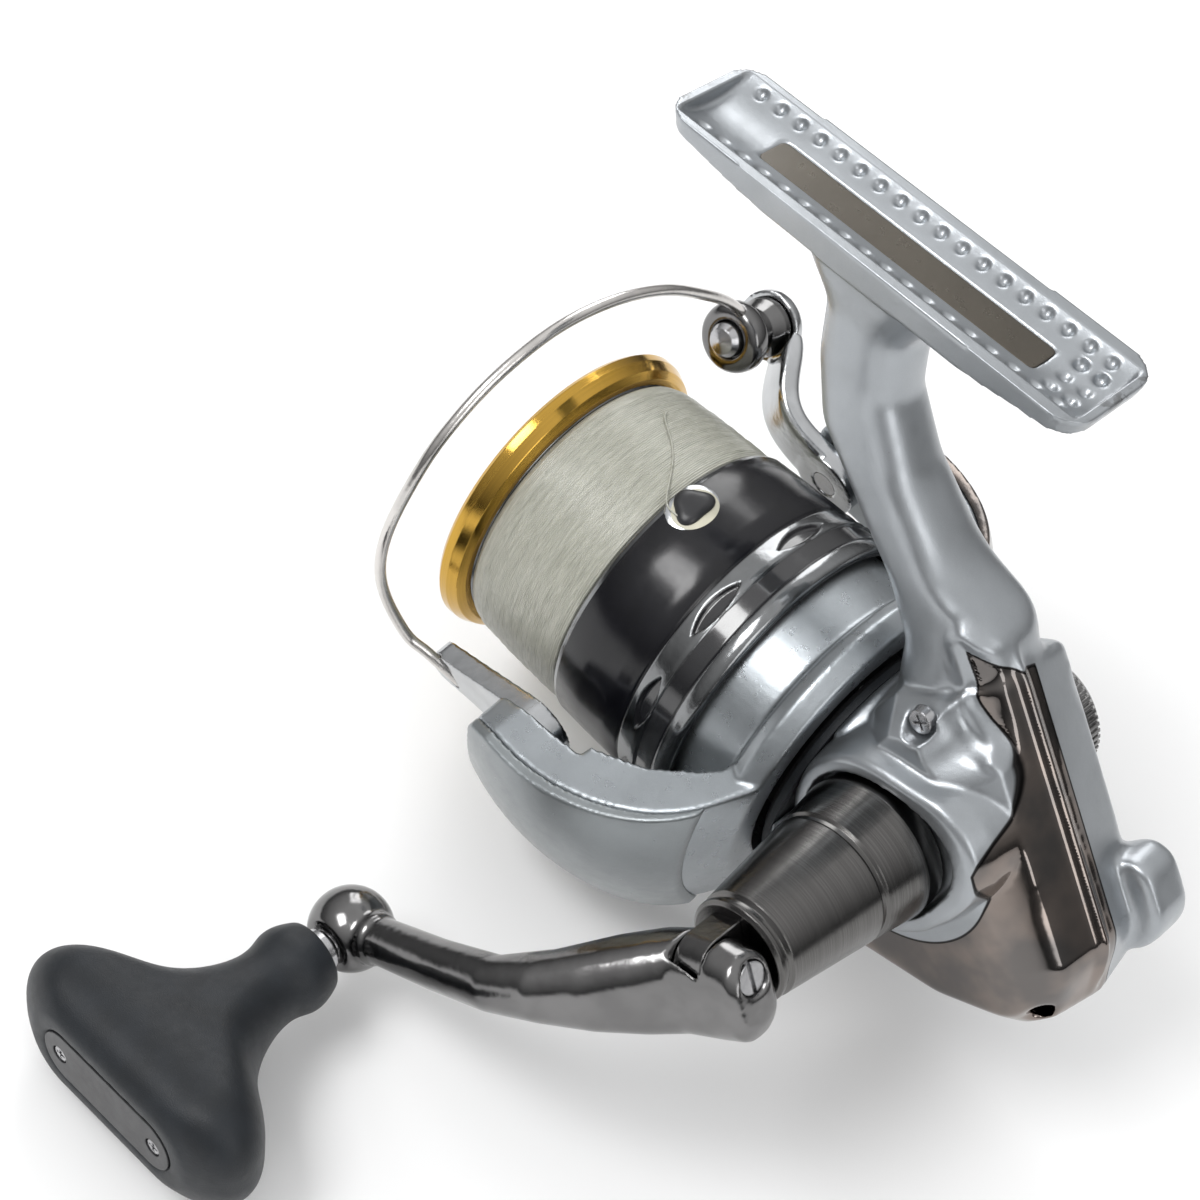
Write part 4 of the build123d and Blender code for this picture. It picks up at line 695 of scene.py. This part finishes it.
# ---------------------------------------------------------------- wound line
def line_material():
    """Clear nylon in fine wraps, with glints along them: painted highlights in the colour, where the line is
    also glossier.
    """
    g = Graph("wound_line")
    space = g.around(X_AXIS, shaft)
    wraps = g.noise(g.vector("MULTIPLY", space, (3.2, 0.4, 1.0)), 1.0, 4, 0.6)
    slant = g.vector("MULTIPLY", g.mm, (1.6, 0.16, 0.16))
    strands = g.noise(slant, 1.5, 6, 0.7, 0.6)
    tone = g.mix(g.step(strands, 0.3, 0.72), rgb(0.30, 0.30, 0.25), rgb(0.55, 0.55, 0.48))
    tone = g.mix(g.step(wraps, 0.35, 0.75), tone, rgb(0.42, 0.42, 0.36))
    # Painted highlight: bright streaks painted into the line's colour stand for glints of light; the same
    # streaks are also made glossier.
    painted_glint = g.step(g.noise(g.vector("MULTIPLY", g.mm, (2.4, 0.3, 0.3)), 1.4, 5, 0.75), 0.66, 0.76)
    tone = g.mix(painted_glint, tone, rgb(0.85, 0.85, 0.8))
    height = g.math("ADD", strands, g.math("MULTIPLY", wraps, 0.5))
    g.set(Base_Color=tone, Roughness=g.blend(painted_glint, 0.34, 0.12), Subsurface_Weight=0.25,
          Subsurface_Radius=(0.002, 0.002, 0.0015), Coat_Weight=0.5, Coat_Roughness=0.18,
          Specular_IOR_Level=0.6, Normal=g.bump(height, 0.12))
    return g.material


nylon = line_material()
PACK_START, PACK_END, PACK_BORE = 44.9, 62.8, 15.2
PITCH, CROSS_PITCH = 0.3, 2.3  # from wrap to wrap, and between the crossings of the lay
PACK_SHAPE = ((PACK_START, 21.95), (46.0, 22.25), (54.0, 22.05), (60.5, 21.6), (62.0, 21.1),
              (PACK_END, 20.3))


def pack_radius(x):
    """The wound line's outer radius at x."""
    for (x0, r0), (x1, r1) in zip(PACK_SHAPE, PACK_SHAPE[1:]):
        if x <= x1:
            return r0 + (r1 - r0) * (x - x0) / (x1 - x0)
    return PACK_SHAPE[-1][1]


pack_rows = [(PACK_START, PACK_BORE, 0)]
steps = int((PACK_END - PACK_START) / PITCH * 5)
for step in range(steps + 1):
    x = PACK_START + (PACK_END - PACK_START) * step / steps
    pack_rows.append((x, pack_radius(x), 0))
pack_rows.append((PACK_END, PACK_BORE, 0))


def line_push(x, angle, radius):
    """Fine wraps round the spool, with wider crossings over them; the bore stays plain."""
    if radius == PACK_BORE:
        return 0.0
    lay = math.sin(2 * math.pi * (x / PITCH) + angle)
    cross = math.sin(2 * math.pi * x / CROSS_PITCH + 3 * angle) * math.sin(5 * angle + x)
    return 0.05 - 0.045 * lay + 0.05 * cross


line = revolved("wound_line", pack_rows, 240, [nylon], "spool", push=line_push)
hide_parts("line_pack")

# ---------------------------------------------------------------- spool
BLACK, CHROME, EYE = 0, 1, 2  # the spool's looks
EYES = 9  # eye-shaped hollows round the skirt's chrome band
EYE_X, EYE_SHIFT = 29.6, 0.35
EYE_HALF_X, EYE_HALF = 1.35, 4.7  # half of a hollow's width along X, and of its length round the skirt
EYE_RADIUS, EYE_DEPTH = 23.2, 0.75
EYE_START = math.radians(55)
BAND_LOW = 22.4  # only the skirt outside this radius carries the hollows


def eye_depth(x, angle):
    """0 outside the eye-shaped hollows, up to 1 in their middle."""
    pitch = 2 * math.pi / EYES
    off = (angle - EYE_START + pitch / 2) % pitch - pitch / 2
    across = abs(off) * EYE_RADIUS / EYE_HALF
    if across >= 1:
        return 0.0
    half = EYE_HALF_X * (1 - across**2)
    inside = 1 - abs(x - EYE_X + EYE_SHIFT) / max(half, 1e-3)
    return max(0.0, min(1.0, inside * 2.5))


def skirt_push(x, angle, radius):
    return EYE_DEPTH * eye_depth(x, angle) if radius > BAND_LOW else 0.0


def skirt_look(x, angle, index):
    return EYE if index == CHROME and eye_depth(x, angle) > 0.05 else index


# Rear rim, dark band, chrome band, long black skirt, rear lip of the line bed, the bed itself, and the bore.
skirt = [(SPOOL_START, 22.2, BLACK), (SPOOL_START, 22.9, CHROME), (22.7, 23.35, CHROME),
         (23.1, 23.55, CHROME), (24.6, 23.58, CHROME), (24.9, 23.4, BLACK), (25.1, 23.05, BLACK)]
skirt += [(25.3 + step * 0.17, 23.1, EYE) for step in range(16)]
skirt.append((27.9, 23.12, CHROME))
for step in range(25):
    x = 28.0 + step * 0.14
    skirt.append((x, 23.5 - 0.5 * max(0, (x - 28.6) / 3.0), CHROME))
skirt += [(31.5, 22.9, BLACK), (31.7, 22.75, BLACK), (31.85, 22.95, BLACK), (32.0, 23.1, BLACK),
          (35.0, 23.05, BLACK), (39.0, 22.93, BLACK), (43.6, 22.72, BLACK)]
skirt += [(43.75, 22.62, CHROME), (44.2, 22.5, CHROME), (44.75, 22.1, CHROME), (44.8, 21.8, CHROME),
          (44.8, 15.0, CHROME), (62.9, 15.0, CHROME), (62.9, 20.55, CHROME), (64.4, 20.55, CHROME),
          (64.4, 12.3, CHROME)]
skirt += [(57.0, 12.3, BLACK), (57.0, 3.5, BLACK), (54.3, 3.5, BLACK), (54.3, 6.6, BLACK),
          (51.0, 6.6, BLACK), (51.0, 8.2, BLACK), (54.6, 10.0, BLACK), (54.6, 13.2, BLACK),
          (43.4, 13.2, BLACK), (43.4, 21.4, BLACK), (42.0, 21.9, BLACK), (SPOOL_START, 22.2, BLACK)]
eye_black = moulded("eye_black", rgb(0.012, 0.012, 0.014), rough=0.12, grain=12.0, depth=0.004, coat=1.0,
                    dust=0.0)
skirt_looks = [gloss_black, skirt_chrome, eye_black]
skirt_body = revolved("spool_body", skirt, 540, skirt_looks, "spool", pick=skirt_look, push=skirt_push)
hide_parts("spool")

# ---------------------------------------------------------------- line clip
CLIP_X, CLIP_TURN = 41.2, math.radians(76)
SKIRT_RADIUS = 23.0


def on_skirt(along, around, height):
    """A place near the clip: along X, around the skirt, and height from the spool axis, in mm."""
    angle = CLIP_TURN + around / SKIRT_RADIUS
    return at(CLIP_X + along, height * math.cos(angle), height * math.sin(angle))


def pad(name, shape, base, crown, look, rings=7, segments=48):
    """A domed pad on the skirt; shape(angle) gives its outline as (along, around)."""
    bm = bmesh.new()
    rows = []
    for ring in range(rings):
        t = ring / (rings - 1)
        scale = 1 - 0.55 * max(0.0, t - 0.25) / 0.75 if t > 0.25 else 1.0
        lift = base + crown * math.sin(min(1.0, t * 1.15) * math.pi / 2)
        rows.append([bm.verts.new(on_skirt(shape(a)[0] * scale, shape(a)[1] * scale, lift))
                     for a in (2 * math.pi * i / segments for i in range(segments))])
    for row, upper in zip(rows, rows[1:]):
        for i in range(segments):
            j = (i + 1) % segments
            bm.faces.new((row[i], row[j], upper[j], upper[i]))
    top = bm.verts.new(on_skirt(0, 0, base + crown * 1.02))
    for i in range(segments):
        bm.faces.new((rows[-1][i], rows[-1][(i + 1) % segments], top))
    bmesh.ops.recalc_face_normals(bm, faces=bm.faces)
    made = from_bmesh(name, bm, look)
    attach(made, "spool")
    return made


def oval(half_along, half_around):
    """An oval outline, cut straight at the front where the spool's lip begins."""
    return lambda a: (min(half_along * math.cos(a), 3.45), half_around * math.sin(a))


def tab_outline(a):
    """A rounded triangle, wide at the front."""
    reach = 2.95 * (1 + 0.13 * math.cos(3 * a))
    return (reach * math.cos(a) * 0.82 + 0.5, reach * math.sin(a) * 0.98)


pad("clip_rim", oval(3.9, 4.4), 22.55, 0.42, bright_chrome)
pad("clip_base", oval(3.1, 3.6), 22.75, 0.32, cream)
clip_tab = pad("clip_tab", tab_outline, 22.95, 0.85, black_plastic)
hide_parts("line_clip")


def on_spool(x, radius, degrees):
    """A place round the spool axis."""
    return at(x, radius * math.cos(math.radians(degrees)), radius * math.sin(math.radians(degrees)))


# Loose end of the line, from the wound line over to the clip.
strand = [on_spool(56.0, 22.2, 102), on_spool(56.0, 22.2, 98), on_spool(50.0, 22.6, 92)]
strand += [on_skirt(3.6, -2.6, 23.3), on_skirt(2.0, -2.9, 23.35), on_skirt(-0.6, -2.3, 23.3)]
tube("loose_strand", strand, 0.12, nylon, "spool", resolution=3)


# ---------------------------------------------------------------- bail wire and its cap
roller_joint = next(joint for joint in frame["joints"] if joint["name"] == "roller_spin")
roller_middle = Vector(roller_joint["pos_m"])
roller_axis = Vector(roller_joint["axis"]).normalized()
WIRE_ARC = ((63.5, 3.0, 32.3), (67.3, 17.5, 33.9), (67.8, 33.0, 36.0), (67.6, 50.0, 37.2),
            (67.5, 62.0, 37.7), (67.3, 75.0, 37.8), (66.8, 90.0, 37.7), (65.9, 105.0, 37.0),
            (64.8, 120.0, 36.1), (63.7, 134.0, 35.3))  # (x, degrees round the rotor, radius)
WIRE_RADIUS = 0.8
wire = [on_rotor(55.4, 29.6, -5.5), on_rotor(60.2, 31.18, -1.24)]
wire += [on_rotor(x, r * math.cos(math.radians(a)), r * math.sin(math.radians(a))) for x, a, r in WIRE_ARC]
wire += [on_rotor(63.1, -28.4, 21.0), on_rotor(62.4, -30.6, 17.6), on_rotor(62.0, -31.2, 15.4)]
wire_path = [Vector(place) for place in smooth_path([tuple(place) for place in wire], 5)]
smooth_wire = tube("bail_arc", wire_path, WIRE_RADIUS, wire_steel, "bail")
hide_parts("bail_wire")

CAP = ((2.4, 1.6), (2.4, 4.7), (2.6, 5.05), (3.0, 5.2), (4.2, 5.15), (4.9, 4.9), (5.4, 4.4), (5.6, 3.7),
       (5.6, 2.95), (5.5, 2.8), (4.9, 2.8), (4.9, 1.6))  # (along the roller's axis, radius)
side = roller_axis.orthogonal().normalized()
other = roller_axis.cross(side)
bm = bmesh.new()
turns = 96
rings = []
spokes = [(math.cos(2 * math.pi * k / turns), math.sin(2 * math.pi * k / turns)) for k in range(turns)]
for along_mm, radius_mm in CAP:
    foot_place = roller_middle + roller_axis * along_mm * MM
    rings.append([bm.verts.new(foot_place + (side * c + other * d) * radius_mm * MM) for c, d in spokes])
for k in range(len(rings)):
    row, after = rings[k], rings[(k + 1) % len(rings)]
    for i in range(turns):
        j = (i + 1) % turns
        bm.faces.new((row[i], row[j], after[j], after[i]))
bmesh.ops.recalc_face_normals(bm, faces=bm.faces)
cap = from_bmesh("wire_cap", bm, dark_chrome)
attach(cap, "bail")

# ---------------------------------------------------------------- stage
low = min(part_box(name)[0][2] for name in nodes)
floor_mesh = bpy.data.meshes.new("floor")
size = 3.0  # half of the floor's side, in metres
corners = [(-size, -size, 0), (size, -size, 0), (size, size, 0), (-size, size, 0)]
floor_mesh.from_pydata(corners, [], [(0, 1, 2, 3)])
floor_look = Graph("floor")
patches = floor_look.noise(floor_look.mm, 0.004, 2)
floor_tone = floor_look.mix(patches, rgb(0.92, 0.92, 0.92), rgb(0.95, 0.95, 0.95))
floor_look.set(Base_Color=floor_tone, Roughness=0.7)
floor = new_object("floor", floor_mesh, floor_look.material)
floor.location = (0, 0, low - MM)


def area_light(name, place, target, power, width, height):
    """A rectangular lamp at place that faces target; power in watts, width and height in metres."""
    data = bpy.data.lights.new(name, "AREA")
    data.shape = "RECTANGLE"
    data.size = width
    data.size_y = height
    data.energy = power
    made = bpy.data.objects.new(name, data)
    made.location = place
    made.rotation_euler = (Vector(target) - Vector(place)).to_track_quat("-Z", "Y").to_euler()
    bpy.context.scene.collection.objects.link(made)


middle = (Vector(cad_bounds[0]) + Vector(cad_bounds[1])) / 2
area_light("key", middle + Vector((0.25, 0.45, 0.75)), middle, power=4.2, width=0.45, height=0.3)
area_light("fill", middle + Vector((-0.7, 0.2, 0.35)), middle, power=1.2, width=0.3, height=0.5)
area_light("rim", middle + Vector((0.5, -0.5, 0.45)), middle, power=1.8, width=0.3, height=0.5)

# Light from the world rises from dark at the floor to white overhead; the camera sees an even pale backdrop.
world = bpy.data.worlds.new("studio")
world.use_nodes = True
bpy.context.scene.world = world
tree = world.node_tree
tree.nodes.clear()
out = tree.nodes.new("ShaderNodeOutputWorld")
back = tree.nodes.new("ShaderNodeBackground")
ramp = tree.nodes.new("ShaderNodeValToRGB")
split = tree.nodes.new("ShaderNodeSeparateXYZ")
where = tree.nodes.new("ShaderNodeTexCoord")
tree.links.new(where.outputs["Generated"], split.inputs[0])
tree.links.new(split.outputs["Z"], ramp.inputs[0])
tree.links.new(ramp.outputs[0], back.inputs[0])
backdrop = tree.nodes.new("ShaderNodeBackground")
backdrop.inputs["Color"].default_value = (0.97, 0.97, 0.97, 1)
seen = tree.nodes.new("ShaderNodeLightPath")
choose = tree.nodes.new("ShaderNodeMixShader")
tree.links.new(seen.outputs["Is Camera Ray"], choose.inputs[0])
tree.links.new(back.outputs[0], choose.inputs[1])
tree.links.new(backdrop.outputs[0], choose.inputs[2])
tree.links.new(choose.outputs[0], out.inputs[0])
ramp.color_ramp.elements[0].position = 0.0
ramp.color_ramp.elements[0].color = (0.05, 0.05, 0.052, 1)
ramp.color_ramp.elements[1].position = 0.9
ramp.color_ramp.elements[1].color = (1.0, 1.0, 1.0, 1)
back.inputs["Strength"].default_value = 0.95
bpy.context.scene.view_settings.view_transform = "Standard"

# ---------------------------------------------------------------- camera
# Lens, place and directions were fitted to the photograph's view.
camera_data = bpy.data.cameras.new("camera")
camera_data.lens = 74.6
camera_data.sensor_width = 36.0
camera_data.clip_start = 0.01
camera = bpy.data.objects.new("camera", camera_data)
right = Vector((-0.696, -0.693, 0.192)).normalized()
forward = Vector((0.357, -0.565, -0.744)).normalized()
up = right.cross(forward).normalized()
right = forward.cross(up).normalized()
turn = Matrix((right, up, -forward)).transposed()
camera.matrix_world = Matrix.Translation(at(-73.5, 203.0, 253.8)) @ turn.to_4x4()
bpy.context.scene.collection.objects.link(camera)
bpy.context.scene.camera = camera
